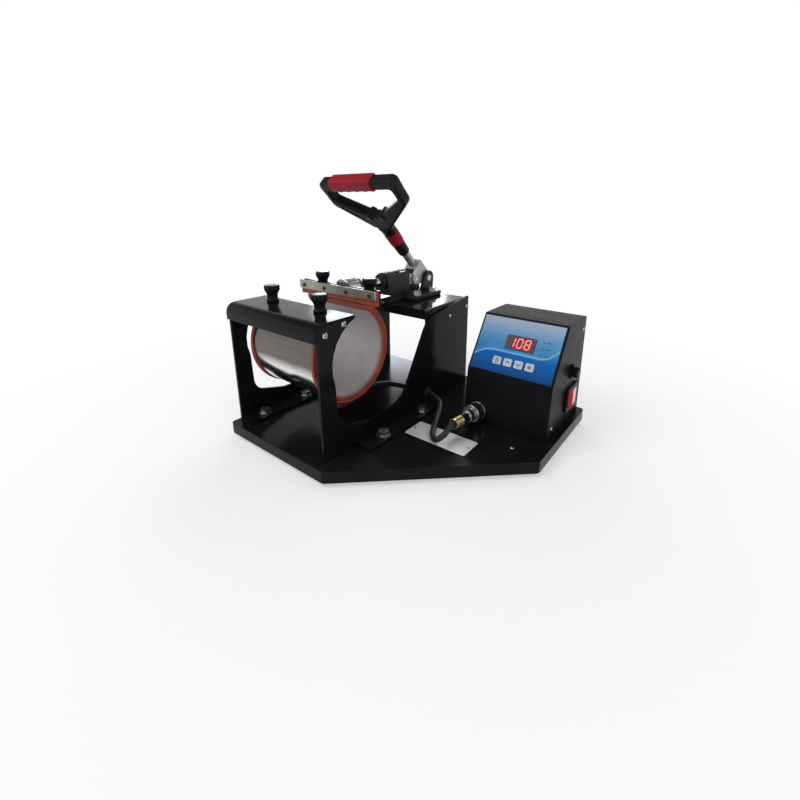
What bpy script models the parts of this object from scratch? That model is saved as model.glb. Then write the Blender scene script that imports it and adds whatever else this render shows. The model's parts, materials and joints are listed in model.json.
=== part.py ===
"""Mug heat press: a heated wrap in a bracket, a push-pull clamp with a handle and a control box, on a base.

Units are metres and +Z is up. The origin is on the table, under the middle of the base.
The press faces -Y, and the mug lies along X in the wrap.
"""

import math

import bmesh
import bpy

# Clearances, cuts and rounding
BROAD_CORNER = 0.008
SEAT_GAP = 0.0003
RUNNING_GAP = 0.0003
OVERRUN = 0.004
WELD = 0.00002
ARC_STEP = math.radians(15)
CORNER_STEP = math.radians(30)
HOLE_SIDES = 14
SHARP_ANGLE = math.radians(40)
SMOOTH_ANGLE = math.radians(35)
SEAT_SIDES = 96
FINGER_SIDES = 60
HEX_SIDES = 6
POST_SIDES = 12
QUARTER = math.radians(90)
FULL_TURN = math.radians(360)
FACING_X = (QUARTER, 0, QUARTER)
FACING_FRONT = (QUARTER, 0, 0)
FACING_LEFT = (QUARTER, 0, -QUARTER)

# Base
BASE_WIDTH = 0.290
BASE_DEPTH = 0.262
BASE_FRONT_Y = -0.131
BASE_SKIRT = 0.012
BASE_SHEET = 0.0016
BASE_CORNER_RADIUS = 0.004
BASE_EDGE_RADIUS = 0.0012
BASE_CUT_WIDTH = 0.145
BASE_CUT_DEPTH = 0.131
FOOT_LIFT = 0.004
FOOT_TOP_RADIUS = 0.0095
FOOT_SOLE_RADIUS = 0.0080
FOOT_INSET = 0.0130
FOOT_CUT_SETBACK = 0.0055
FOOT_EDGE = 0.0012
FOOT_RECESS_RADIUS = 0.0035
FOOT_RECESS_DEPTH = 0.0030
BASE_TOP = FOOT_LIFT + BASE_SKIRT
BASE_UNDERSIDE = BASE_TOP - BASE_SHEET
BASE_REAR_Y = BASE_FRONT_Y + BASE_DEPTH

# Bracket of the press
PRESS_X = -0.0765
PRESS_WIDTH = 0.135
PLATE_SHEET = 0.0025
MUG_AXIS_Y = -0.060
MUG_AXIS_Z = 0.100
NOTCH_RADIUS = 0.0445
NOTCH_ARC_END = math.radians(200)
NOTCH_FRONT_Y = -0.1005
NOTCH_FLOOR_Z = 0.0335
NOTCH_FRONT_RADIUS = 0.030
NOTCH_FRONT_KNEE_Y = -0.062
NOTCH_FRONT_KNEE_Z = 0.0365
NOTCH_REAR_Y = -0.0085
NOTCH_REAR_RADIUS = 0.028
SHOULDER_Y = 0.0395
SHOULDER_Z = 0.1160
SHOULDER_RADIUS = 0.026
REAR_TIP_Z = 0.1275
REAR_SETBACK = 0.003
PLATE_CORNER_RADIUS = 0.0015
PLATE_FLANGE_WIDTH = 0.022
PLATE_FLANGE_CORNER = 0.004
RIGHT_FLANGE_FRONT = -0.082
RIGHT_FLANGE_REAR = 0.034
LEFT_FLANGE_FRONT = -0.122
LEFT_FLANGE_REAR = -0.022
RIGHT_BOLTS_Y = (-0.055, 0.010)
LEFT_BOLTS_Y = (-0.099, -0.043)
PLATE_BOLT_OFFSET = 0.0145
CABLE_HOLE_Y = 0.040
CABLE_HOLE_Z = 0.0260
PLATE_OUTER_SHARE = 0.5
RIGHT_FACE_X = PRESS_X + PRESS_WIDTH * PLATE_OUTER_SHARE
LEFT_FACE_X = PRESS_X - PRESS_WIDTH * PLATE_OUTER_SHARE
INNER_WIDTH = PRESS_WIDTH - 2 * PLATE_SHEET - 2 * SEAT_GAP

# Front cover
COVER_TOP = 0.145
COVER_FRONT_Y = -0.122
COVER_DEPTH = 0.047
COVER_DROP = 0.0165
COVER_SHEET = 0.002
COVER_BEND_RADIUS = 0.010
COVER_TAB_MARGIN = 0.001

# Heated wrap: the surfaces are circles round the mug, with a hook at the front and a bend at the rear
WRAP_RADIUS = 0.045
WRAP_STRIP_MARGIN = 0.0085
MAT_THICKNESS = 0.003
SHELL_THICKNESS = 0.0008
EDGE_THICKNESS = 0.0022
EDGE_WIDTH = 0.004
HOOK_RADIUS = 0.002
REAR_BEND_RADIUS = 0.006
FRONT_TAIL_LENGTH = 0.0100
WRAP_STEP = math.radians(9)
WRAP_OUTER_RADIUS = WRAP_RADIUS + MAT_THICKNESS + SEAT_GAP + EDGE_THICKNESS

# Strips that hold the wrap's two ends
STRIP_SIDE_MARGIN = 0.010
STRIP_WIDTH = PRESS_WIDTH - 2 * STRIP_SIDE_MARGIN
WRAP_LENGTH = STRIP_WIDTH - 2 * WRAP_STRIP_MARGIN
STRIP_THICKNESS = 0.0025
STRIP_EDGE = 0.0005
REAR_STRIP_Y = -0.0365
REAR_STRIP_BOTTOM = 0.1485
REAR_STRIP_TOP = 0.158
FRONT_STRIP_THICKNESS = 0.003
FRONT_STRIP_REAR_Y = -0.082
HOLDER_FLANGE_BOTTOM = 0.147
HOLDER_FLANGE_THICKNESS = 0.003
HOLDER_DEPTH = 0.018
HOLDER_SLOT_WIDTH = 0.026

# Clamp knobs
KNOB_OFFSET = 0.036
FRONT_KNOB_Y = -0.088
REAR_KNOB_Y = -0.0207
KNOB_BASE_RADIUS = 0.0063
KNOB_WAIST_RADIUS = 0.0052
KNOB_TOP_RADIUS = 0.0077
KNOB_BASE_HEIGHT = 0.0022
KNOB_WAIST_HEIGHT = 0.0075
KNOB_FLARE_HEIGHT = 0.0125
KNOB_HEIGHT = 0.0170
KNOB_CROWN = 0.0008
KNOB_RIM_EDGE = 0.0010
KNOB_FLUTES = 12
KNOB_STEPS = 24
KNOB_FLUTE_RADIUS = 0.0009
STUD_RADIUS = 0.0025

# Plunger
ROD_Z = 0.151
ROD_RADIUS = 0.005
ROD_FRONT_Y = -0.0077
ROD_REAR_Y = 0.078
ROD_FLAT_FRONT_Y = 0.0585
ROD_FLAT_HALF = 0.003
YOKE_WIDTH = 0.024
YOKE_FRONT_Y = -0.0255
YOKE_DOME_RADIUS = 0.012
YOKE_EDGE = 0.0008
CARRIER_SIDE_MARGIN = 0.0115
CARRIER_WIDTH = STRIP_WIDTH - 2 * CARRIER_SIDE_MARGIN
CARRIER_THICKNESS = 0.0045
CARRIER_EDGE = 0.0008
TONGUE_WIDTH = 0.012
TONGUE_THICKNESS = 0.0025
TONGUE_REAR_Y = 0.056
TONGUE_BEND_RADIUS = 0.004
LOCK_NUT_WIDTH = 0.017
LOCK_NUT_LENGTH = 0.008
LOCK_NUT_EDGE = 0.0006

# Rear top plate that carries the clamp
TOP_PLATE_Z = 0.125
TOP_PLATE_FRONT_Y = 0.040
TOP_PLATE_SHEET = 0.002
TOP_PLATE_LIP = 0.0105
TOP_PLATE_TAB = 0.019
TOP_PLATE_BEND_RADIUS = 0.0035

# Clamp casting
CASTING_FRONT_Y = 0.038
CASTING_FLANGE_THICKNESS = 0.005
CASTING_FLANGE_FRONT_Y = 0.066
CASTING_FLANGE_REAR_Y = 0.1275
CASTING_FLANGE_WIDTH = 0.058
CASTING_FLANGE_CORNER = 0.007
CASTING_EDGE = 0.0008
CASTING_NOSE_HALF = 0.0118
CASTING_NOSE_SETBACK = 0.002
BARREL_RADIUS = 0.0105
BARREL_REAR_Y = 0.080
BARREL_BORE_REAR_Y = 0.0560
CHANNEL_FLOOR = 0.1389
CHANNEL_TOP = 0.1600
EAR_THICKNESS = 0.004
EAR_RADIUS = 0.0095
EAR_FOOT_FRONT_Y = 0.0985
CASTING_BOLT_OFFSET = 0.0213
CASTING_BOLTS_Y = (0.079, 0.112)

# Handle pivot and linkage, seen along X
PIVOT_Y = 0.118
PIVOT_Z = 0.146
HANDLE_LEAN = math.radians(45)
HANDLE_SWING = math.radians(60)
PIVOT_PIN_RADIUS = 0.004
LEVER_ARM = 0.022
LEVER_ARM_ANGLE = math.radians(132)
LEVER_SHEET = 0.0025
LEVER_EYE_RADIUS = 0.0088
LEVER_NOSE_RADIUS = 0.0068
LINK_LENGTH = 0.026
LINK_SHEET = 0.0028
LINK_EYE_RADIUS = 0.0062
LINK_FAR_RADIUS = 0.0066
LINK_FAR_REACH = 0.0252
LINK_WINDOW_RISE = 0.00115
LINK_WINDOW_CENTRE = 0.0240
LINK_WINDOW_LENGTH = 0.0088
LINK_WINDOW_HEIGHT = 0.0071
LINK_WINDOW_CORNER = 0.0012
LINK_STRAP_LENGTH = 0.0035
LINK_PIN_RADIUS = 0.0025
PLUNGER_PIN_RADIUS = 0.002
LINK_INNER_X = ROD_FLAT_HALF + RUNNING_GAP
LINK_OUTER_X = LINK_INNER_X + LINK_SHEET
LEVER_INNER_X = LINK_OUTER_X + RUNNING_GAP
LEVER_OUTER_X = LEVER_INNER_X + LEVER_SHEET
EAR_INNER_X = LEVER_OUTER_X + RUNNING_GAP
EAR_OUTER_X = EAR_INNER_X + EAR_THICKNESS
CHANNEL_HALF_WIDTH = LINK_OUTER_X + SEAT_GAP

# Handle, upright over its pivot
SHAFT_RADIUS = 0.0058
SHAFT_ROOT = 0.021
SHAFT_TOP = 0.080
WEB_BOTTOM = 0.0165
WEB_TOP = 0.0270
WEB_FRONT = -0.0072
WEB_REAR = 0.0078
NECK_BOTTOM = 0.051
NECK_BOTTOM_RADIUS = 0.0100
NECK_TOP = 0.097
NECK_TOP_RADIUS = 0.0122
NECK_EDGE = 0.0015
NECK_BORE_TOP = 0.084
BAND_BOTTOM = 0.072
BAND_TOP = 0.086
BAND_DEPTH = 0.0016
BAND_PROUD = 0.0004
GRIP_CENTRE = 0.163
GRIP_HALF_HEIGHT = 0.0105
HANDLE_HALF_WIDTH = 0.0585
HANDLE_THICKNESS = 0.019
HANDLE_EDGE = 0.0035
HANDLE_SIDE_BOTTOM = 0.136
HANDLE_SHOULDER = 0.104
HANDLE_SHOULDER_HALF = 0.0185
HANDLE_COLLAR = 0.090
HANDLE_COLLAR_HALF = 0.0118
HANDLE_TOP_RADIUS = 0.009
HANDLE_SIDE_RADIUS = 0.014
HANDLE_SHOULDER_RADIUS = 0.005
WINDOW_HALF_WIDTH = 0.0385
WINDOW_TOP = 0.1525
WINDOW_SIDE_BOTTOM = 0.1400
WINDOW_BOTTOM = 0.1175
WINDOW_BOTTOM_HALF = 0.008
WINDOW_RADIUS = 0.005
BOSS_RADIUS = 0.0040
BOSS_HALF_SPACING = 0.0085
BOSS_HEIGHT = 0.1090
BOSS_PROUD = 0.0008
ARM_RECESS_LENGTH = 0.032
ARM_RECESS_WIDTH = 0.0062
ARM_RECESS_DEPTH = 0.0010
ARM_RECESS_X = -0.0375
ARM_RECESS_Z = 0.1265
GRIP_LEFT = -0.0395
GRIP_RIGHT = 0.0225
GRIP_WALL = 0.0022
GRIP_EDGE = 0.0015
GRIP_CORE_HALF = 0.0080
FINGER_COUNT = 5
FINGER_RIDGE = 0.0010
FINGER_DEPTH = 0.0013

# Control box
BOX_LEFT_X = 0.044
BOX_WIDTH = 0.093
BOX_FRONT_Y = 0.035
BOX_KNEE_Y = 0.0405
BOX_KNEE_Z = 0.0714
BOX_CREST_Y = 0.076
BOX_TOP = 0.125
BOX_REAR_Y = 0.129
BOX_SHEET = 0.0015
BOX_BEND_RADIUS = 0.003
PANEL_THICKNESS = 0.0008
PANEL_MARGIN = 0.0016
PANEL_START = 0.0012
PANEL_LENGTH = 0.0612
PANEL_CORNER_RADIUS = 0.0015
DISPLAY_WIDTH = 0.031
DISPLAY_HEIGHT = 0.015
DISPLAY_OFFSET = 0.0030
DISPLAY_ALONG = 0.0362
DISPLAY_PROUD = 0.0006
DISPLAY_CORNER_RADIUS = 0.001
BUTTON_COUNT = 4
BUTTON_PITCH = 0.0118
BUTTON_OFFSET = 0.0017
BUTTON_ALONG = 0.0140
BUTTON_WIDTH = 0.0090
BUTTON_HEIGHT = 0.0084
BUTTON_PROUD = 0.0012
BUTTON_FLANGE = 0.0010
BUTTON_FLANGE_THICKNESS = 0.0015
BUTTON_TRAVEL = 0.0008
BUTTON_CORNER_RADIUS = 0.0012
BOARD_DEPTH = 0.0115
BOARD_THICKNESS = 0.0016
BOARD_WIDTH = 0.076
BOARD_LENGTH = 0.050
BOARD_ALONG = 0.030
BOARD_POST_RADIUS = 0.0028
BOARD_POST_INSET = 0.0040
BOARD_SWITCH_SIZE = 0.005
BOARD_CHIP_WIDTH = 0.026
BOARD_CHIP_LENGTH = 0.014
BOARD_CHIP_HEIGHT = 0.010

# Switch, fuse holder and cable gland on the box
SWITCH_Y = 0.0985
SWITCH_Z = 0.0415
SWITCH_LENGTH = 0.034
SWITCH_HEIGHT = 0.026
SWITCH_RIM = 0.0022
SWITCH_BODY_DEPTH = 0.020
SWITCH_CORNER_RADIUS = 0.002
ROCKER_LENGTH = 0.0232
SWITCH_WELL_LENGTH = 0.0262
ROCKER_HEIGHT = 0.0175
ROCKER_RISE = 0.0042
ROCKER_DEPTH = 0.0060
ROCKER_TILT = math.radians(9)
FUSE_Y = 0.096
FUSE_Z = 0.071
FUSE_BODY_RADIUS = 0.0062
FUSE_FLANGE_RADIUS = 0.0078
FUSE_FLANGE_THICKNESS = 0.0020
FUSE_BODY_DEPTH = 0.018
FUSE_CAP_RADIUS = 0.0058
FUSE_CAP_HEIGHT = 0.0050
FUSE_SLOT_WIDTH = 0.0014
FUSE_SLOT_DEPTH = 0.0012
GLAND_Y = 0.110
GLAND_Z = 0.034
GLAND_RADIUS = 0.0085
GLAND_TIP_RADIUS = 0.0058
GLAND_LENGTH = 0.014
GLAND_NUT_LENGTH = 0.006
GLAND_BORE_RADIUS = 0.0035
GLAND_STEM_RADIUS = 0.0060
GLAND_STEM_DEPTH = 0.006

# Heater lead: socket, plug, spring, cable and cover
SOCKET_X = 0.061
SOCKET_Z = 0.0270
SOCKET_FLANGE_RADIUS = 0.0098
SOCKET_FLANGE_THICKNESS = 0.0022
SOCKET_THREAD_RADIUS = 0.0076
SOCKET_THREAD_LENGTH = 0.0085
SOCKET_STEM_RADIUS = 0.0070
SOCKET_STEM_DEPTH = 0.009
PLUG_RING_RADIUS = 0.0092
PLUG_RING_LENGTH = 0.013
PLUG_BODY_RADIUS = 0.0066
PLUG_BODY_LENGTH = 0.016
PLUG_TAIL_RADIUS = 0.0052
PLUG_TAIL_LENGTH = 0.010
CABLE_RADIUS = 0.0030
CABLE_SIDES_RESOLUTION = 2
CABLE_POINTS = 54
CABLE_HOLE_CLEARANCE = 0.0008
LEAD_TURN_X = (0.0600, 0.0535, 0.0430)
LEAD_TURN_Y = (-0.0290, -0.0330, -0.0240)
LEAD_TURN_RISE = (0.0075, 0.0020, 0.0005)
LEAD_PLATE_REACH = (0.0380, 0.0230)
LEAD_PLATE_Y = (0.0040, 0.0310)
LEAD_PLATE_RISE = (0.0010, 0.0040)
LEAD_INSIDE_X = (-0.0350, -0.0490)
LEAD_INSIDE_Y = (0.0280, 0.0060)
LEAD_INSIDE_Z = (0.0310, 0.0380)
LEAD_ENTRY_LENGTH = 0.0100
SPRING_WIRE_RADIUS = 0.0006
SPRING_RADIUS = 0.0044
SPRING_LENGTH = 0.017
SPRING_CURLS = 8
SPRING_CURL_POINTS = 10
TERMINAL_WIDTH = 0.030
TERMINAL_DEPTH = 0.024
TERMINAL_DROP = 0.013
TERMINAL_X = -0.054
TERMINAL_EDGE = 0.002

# Bolts with a washer
BOLT_SHANK_RADIUS = 0.0027
BOLT_HEAD_RADIUS = 0.0056
BOLT_HEAD_HEIGHT = 0.0040
WASHER_RADIUS = 0.0072
WASHER_THICKNESS = 0.0012
NUT_HEIGHT = 0.003

PARTS = None
CUTTERS = None


# Scene, materials and objects


def clear_scene():
    """Remove what the startup scene holds and make the two collections."""
    global PARTS, CUTTERS
    for obj in list(bpy.data.objects):
        bpy.data.objects.remove(obj, do_unlink=True)
    PARTS = bpy.data.collections.new("mug_heat_press")
    CUTTERS = bpy.data.collections.new("cutters")
    for collection in (PARTS, CUTTERS):
        bpy.context.scene.collection.children.link(collection)


def finish(name, colour, roughness, metallic=0.0):
    """Return a Principled material of its own for one sub-part."""
    material = bpy.data.materials.new(name)
    material.use_nodes = True
    shader = material.node_tree.nodes["Principled BSDF"]
    shader.inputs["Base Color"].default_value = (*colour, 1)
    shader.inputs["Roughness"].default_value = roughness
    shader.inputs["Metallic"].default_value = metallic
    return material


def black_paint(name):
    return finish(name, (0.015, 0.015, 0.018), 0.25)


def steel(name):
    return finish(name, (0.72, 0.72, 0.70), 0.3, 1.0)


def black_plastic(name):
    return finish(name, (0.02, 0.02, 0.02), 0.45)


def red_rubber(name):
    return finish(name, (0.62, 0.05, 0.04), 0.5)


def add_object(name, mesh, material=None):
    """Link a mesh to the parts when it has a material, and otherwise to the cutters."""
    obj = bpy.data.objects.new(name, mesh)
    if material is None:
        CUTTERS.objects.link(obj)
        obj.hide_render = True
        obj.display_type = "WIRE"
    else:
        PARTS.objects.link(obj)
        mesh.materials.clear()
        mesh.materials.append(material)
        mesh.shade_smooth()
        mesh.set_sharp_from_angle(angle=SMOOTH_ANGLE)
    return obj


def empty(name, location, rotation=(0, 0, 0)):
    obj = bpy.data.objects.new(name, None)
    PARTS.objects.link(obj)
    obj.location = location
    obj.rotation_euler = rotation
    return obj


def place(obj, location, rotation=(0, 0, 0), parent=None):
    obj.location = location
    obj.rotation_euler = rotation
    obj.parent = parent
    return obj


# Outlines


def arc(centre, radius, start, end, most=ARC_STEP):
    """Return points on an arc, both ends included, turning by at most the stated angle at each."""
    count = max(1, math.ceil(abs(end - start) / most - WELD))
    angles = [start + (end - start) * step / count for step in range(count + 1)]
    return [(centre[0] + radius * math.cos(angle), centre[1] + radius * math.sin(angle)) for angle in angles]


def circle(centre, radius, sides=18):
    turns = [FULL_TURN * side / sides for side in range(sides)]
    return [(centre[0] + radius * math.cos(turn), centre[1] + radius * math.sin(turn)) for turn in turns]


def rounded(corners):
    """Return an outline whose corners, given as x, y and radius, are rounded."""
    outline = []
    for index, (x, y, radius) in enumerate(corners):
        if radius == 0:
            outline.append((x, y))
            continue
        before = corners[index - 1]
        after = corners[(index + 1) % len(corners)]
        back = math.atan2(before[1] - y, before[0] - x)
        ahead = math.atan2(after[1] - y, after[0] - x)
        turn = (ahead - back + math.pi) % FULL_TURN - math.pi
        half = abs(turn) / 2
        middle = back + turn / 2
        distance = radius / math.sin(half)
        centre = (x + distance * math.cos(middle), y + distance * math.sin(middle))
        sign = -1 if turn > 0 else 1
        start = back + sign * QUARTER
        end = ahead - sign * QUARTER
        sweep = (end - start + math.pi) % FULL_TURN - math.pi
        most = ARC_STEP if radius > BROAD_CORNER else CORNER_STEP
        outline += arc(centre, radius, start, start + sweep, most)
    return outline


def rectangle(width, height, radius=0, centre=(0, 0)):
    x, y = centre
    half, rise = width / 2, height / 2
    corners = [(x - half, y - rise), (x + half, y - rise), (x + half, y + rise), (x - half, y + rise)]
    return rounded([(across, along, radius) for across, along in corners])


def inset(corners, distance):
    """Move each side of a convex outline inwards; the corners run anticlockwise as x, y and radius."""
    moved = []
    for index, (x, y, radius) in enumerate(corners):
        before = corners[index - 1]
        after = corners[(index + 1) % len(corners)]
        back = math.atan2(before[1] - y, before[0] - x)
        ahead = math.atan2(after[1] - y, after[0] - x)
        turn = (back - ahead) % FULL_TURN
        middle = ahead + turn / 2
        reach = distance / math.sin(turn / 2)
        inner = max(radius - distance, 0)
        moved.append((x + reach * math.cos(middle), y + reach * math.sin(middle), inner))
    return moved


# Meshes


def welded(mesh):
    """Join the loose caps of a mesh made from a curve, and turn its faces outwards."""
    work = bmesh.new()
    work.from_mesh(mesh)
    bmesh.ops.remove_doubles(work, verts=work.verts, dist=WELD)
    bmesh.ops.recalc_face_normals(work, faces=work.faces)
    work.to_mesh(mesh)
    work.free()
    return mesh


def mesh_of(obj):
    """Return the evaluated mesh of an object that is then removed."""
    bpy.context.view_layer.update()
    graph = bpy.context.evaluated_depsgraph_get()
    mesh = bpy.data.meshes.new_from_object(obj.evaluated_get(graph))
    bpy.data.objects.remove(obj, do_unlink=True)
    return mesh


def flat_mesh(name, loops, thickness):
    """Return a flat piece in its XY plane, as thick as stated about that plane; later loops are holes."""
    curve = bpy.data.curves.new(name, "CURVE")
    curve.dimensions = "2D"
    curve.fill_mode = "BOTH"
    curve.extrude = thickness / 2
    for loop in loops:
        spline = curve.splines.new("POLY")
        spline.points.add(len(loop) - 1)
        for point, (x, y) in zip(spline.points, loop):
            point.co = (x, y, 0, 1)
        spline.use_cyclic_u = True
    guide = bpy.data.objects.new(name, curve)
    CUTTERS.objects.link(guide)
    mesh = welded(mesh_of(guide))
    mesh.name = name
    return mesh


def flat(name, loops, thickness, material=None):
    return add_object(name, flat_mesh(name, loops, thickness), material)


def block(name, size, material=None):
    """Return a box of the stated size about its origin."""
    work = bmesh.new()
    bmesh.ops.create_cube(work, size=1)
    bmesh.ops.scale(work, vec=size, verts=work.verts)
    mesh = bpy.data.meshes.new(name)
    work.to_mesh(mesh)
    work.free()
    return add_object(name, mesh, material)


def cylinder(name, radius, length, material=None, sides=24):
    """Return a cylinder about its origin, along its Z axis."""
    work = bmesh.new()
    bmesh.ops.create_cone(
        work, cap_ends=True, segments=sides, radius1=radius, radius2=radius, depth=length
    )
    mesh = bpy.data.meshes.new(name)
    work.to_mesh(mesh)
    work.free()
    return add_object(name, mesh, material)


def turned(name, profile, material=None, steps=24, ring=False):
    """Turn a profile of radius and height, listed from the top down its outer side, about Z."""
    mesh = bpy.data.meshes.new(name)
    edges = [(index, index + 1) for index in range(len(profile) - 1)]
    if ring:
        edges.append((len(profile) - 1, 0))
    mesh.from_pydata([(radius, 0, height) for radius, height in profile], edges, [])
    obj = add_object(name, mesh, material)
    screw = obj.modifiers.new("turn", "SCREW")
    screw.axis = "Z"
    screw.angle = FULL_TURN
    screw.steps = steps
    screw.render_steps = steps
    screw.use_merge_vertices = True
    screw.merge_threshold = WELD
    return obj


def drill(name, radius, depth, clearance=SEAT_GAP):
    """Return a cutter for a round hole through a wall of the stated depth."""
    return cylinder(name, radius + clearance, depth + OVERRUN, sides=HOLE_SIDES)


def bevel(obj, width, segments=2):
    modifier = obj.modifiers.new("edges", "BEVEL")
    modifier.width = width
    modifier.segments = segments
    modifier.limit_method = "ANGLE"
    modifier.angle_limit = SHARP_ANGLE
    modifier.use_clamp_overlap = True
    return obj


def combine(obj, others, operation):
    for other in others:
        modifier = obj.modifiers.new(operation.lower(), "BOOLEAN")
        modifier.operation = operation
        modifier.solver = "EXACT"
        modifier.object = other
    return obj


def cut(obj, *cutters):
    return combine(obj, cutters, "DIFFERENCE")


def join(obj, *others):
    return combine(obj, others, "UNION")


def wire_mesh(name, points, radius, resolution):
    """Return a closed tube along the points, with filled caps."""
    curve = bpy.data.curves.new(name, "CURVE")
    curve.dimensions = "3D"
    curve.bevel_depth = radius
    curve.bevel_resolution = resolution
    curve.use_fill_caps = True
    spline = curve.splines.new("POLY")
    spline.points.add(len(points) - 1)
    for target, point in zip(spline.points, points):
        target.co = (*point, 1)
    guide = bpy.data.objects.new(name, curve)
    CUTTERS.objects.link(guide)
    return welded(mesh_of(guide))


# Base


def base_corners():
    half = BASE_WIDTH / 2
    return [
        (-half, BASE_FRONT_Y, BASE_CORNER_RADIUS),
        (half - BASE_CUT_WIDTH, BASE_FRONT_Y, BASE_CORNER_RADIUS),
        (half, BASE_FRONT_Y + BASE_CUT_DEPTH, BASE_CORNER_RADIUS),
        (half, BASE_REAR_Y, BASE_CORNER_RADIUS),
        (-half, BASE_REAR_Y, BASE_CORNER_RADIUS),
    ]


def plate_bolt_places():
    """Return the x and y of each bolt that holds the side plates to the base."""
    right = [(RIGHT_FACE_X + PLATE_BOLT_OFFSET, y) for y in RIGHT_BOLTS_Y]
    left = [(LEFT_FACE_X + PLATE_BOLT_OFFSET, y) for y in LEFT_BOLTS_Y]
    return right + left


def make_base():
    corners = base_corners()
    base = flat("base_plate", [rounded(corners)], BASE_SKIRT, black_paint("base_plate"))
    place(base, (0, 0, FOOT_LIFT + BASE_SKIRT / 2))
    bevel(base, BASE_EDGE_RADIUS)
    hollow = flat("base_hollow", [rounded(inset(corners, BASE_SHEET))], BASE_SKIRT)
    place(hollow, (0, 0, BASE_UNDERSIDE - BASE_SKIRT / 2))
    cut(base, hollow)
    for number, (x, y) in enumerate(plate_bolt_places(), 1):
        hole = drill(f"base_bolt_hole_{number}", BOLT_SHANK_RADIUS, BASE_SHEET)
        cut(base, place(hole, (x, y, BASE_TOP - BASE_SHEET / 2)))


def make_feet():
    half = BASE_WIDTH / 2 - FOOT_INSET
    front, rear = BASE_FRONT_Y + FOOT_INSET, BASE_REAR_Y - FOOT_INSET
    places = {
        "foot_front_left": (-half, front),
        "foot_front_right": (BASE_WIDTH / 2 - BASE_CUT_WIDTH, front + FOOT_CUT_SETBACK),
        "foot_rear_left": (-half, rear),
        "foot_rear_right": (half, rear),
    }
    top = BASE_UNDERSIDE - SEAT_GAP
    profile = [
        (0, top),
        (FOOT_TOP_RADIUS, top),
        (FOOT_SOLE_RADIUS, FOOT_EDGE),
        (FOOT_SOLE_RADIUS - FOOT_EDGE, 0),
        (FOOT_RECESS_RADIUS, 0),
        (FOOT_RECESS_RADIUS, FOOT_RECESS_DEPTH),
        (0, FOOT_RECESS_DEPTH),
    ]
    for name, (x, y) in places.items():
        foot = turned(name, profile, finish(name, (0.03, 0.03, 0.03), 0.8), steps=18)
        place(foot, (x, y, 0))


# Bracket


def side_outline():
    """Return the side plate's outline as y and z, with the notch that the mug passes through."""
    front = COVER_FRONT_Y + COVER_SHEET + SEAT_GAP
    top = COVER_TOP - COVER_SHEET - SEAT_GAP
    bottom = BASE_TOP + SEAT_GAP
    rear = BASE_REAR_Y - REAR_SETBACK
    inner_bend = COVER_BEND_RADIUS - COVER_SHEET - SEAT_GAP
    notch_start = math.pi - math.asin((top - MUG_AXIS_Z) / NOTCH_RADIUS)
    notch = arc((MUG_AXIS_Y, MUG_AXIS_Z), NOTCH_RADIUS, notch_start, NOTCH_ARC_END)
    corners = [(front, bottom, 0), (front, top, inner_bend)]
    corners += [(y, z, 0) for y, z in notch]
    corners += [
        (NOTCH_FRONT_Y, NOTCH_FRONT_KNEE_Z + NOTCH_FRONT_RADIUS / 4, NOTCH_FRONT_RADIUS / 2),
        (NOTCH_FRONT_KNEE_Y, NOTCH_FLOOR_Z, NOTCH_FRONT_RADIUS),
        (NOTCH_REAR_Y, NOTCH_FLOOR_Z, NOTCH_REAR_RADIUS),
        (SHOULDER_Y, SHOULDER_Z, SHOULDER_RADIUS),
        (rear, REAR_TIP_Z, PLATE_CORNER_RADIUS),
        (rear, bottom, 0),
    ]
    return rounded(corners)


def make_side_plate(name, face_x, inward, flange_front, flange_rear, flange_side, bolts_y, cable_hole):
    """Make one side plate with its foot flange; inward and flange_side are +1 or -1 along X."""
    loops = [side_outline()]
    if cable_hole:
        loops.append(circle((CABLE_HOLE_Y, CABLE_HOLE_Z), CABLE_RADIUS + CABLE_HOLE_CLEARANCE))
    plate = flat(name, loops, PLATE_SHEET, black_paint(name))
    place(plate, (face_x + inward * PLATE_SHEET / 2, 0, 0), FACING_X)
    inner_x = face_x + (inward * PLATE_SHEET if flange_side == inward else 0)
    hidden = PLATE_SHEET / 2
    width = PLATE_FLANGE_WIDTH + hidden
    centre_x = inner_x + flange_side * (PLATE_FLANGE_WIDTH - hidden) / 2
    length = flange_rear - flange_front
    outline = rectangle(width, length, PLATE_FLANGE_CORNER, (centre_x, (flange_front + flange_rear) / 2))
    bolt_x = face_x + PLATE_BOLT_OFFSET
    holes = [circle((bolt_x, y), BOLT_SHANK_RADIUS + SEAT_GAP, HOLE_SIDES) for y in bolts_y]
    flange = flat(f"{name}_flange", [outline] + holes, PLATE_SHEET)
    place(flange, (0, 0, BASE_TOP + SEAT_GAP + PLATE_SHEET / 2))
    join(plate, flange)


def make_side_plates():
    make_side_plate(
        "side_plate_right", RIGHT_FACE_X, -1, RIGHT_FLANGE_FRONT, RIGHT_FLANGE_REAR, 1, RIGHT_BOLTS_Y, True
    )
    make_side_plate(
        "side_plate_left", LEFT_FACE_X, 1, LEFT_FLANGE_FRONT, LEFT_FLANGE_REAR, 1, LEFT_BOLTS_Y, False
    )


def bolt_mesh(name, shank_length):
    """Return a hexagon bolt with its washer; the washer's underside is at height zero."""
    tip = -shank_length
    profile = [
        (0, WASHER_THICKNESS),
        (WASHER_RADIUS, WASHER_THICKNESS),
        (WASHER_RADIUS, 0),
        (BOLT_SHANK_RADIUS, 0),
        (BOLT_SHANK_RADIUS, tip),
        (0, tip),
    ]
    body = turned(f"{name}_body", profile, steps=16)
    head_height = BOLT_HEAD_HEIGHT + WASHER_THICKNESS / 2
    head = cylinder(f"{name}_head", BOLT_HEAD_RADIUS, head_height, sides=HEX_SIDES)
    place(head, (0, 0, WASHER_THICKNESS / 2 + head_height / 2))
    join(body, head)
    mesh = mesh_of(body)
    mesh.name = name
    return mesh


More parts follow.
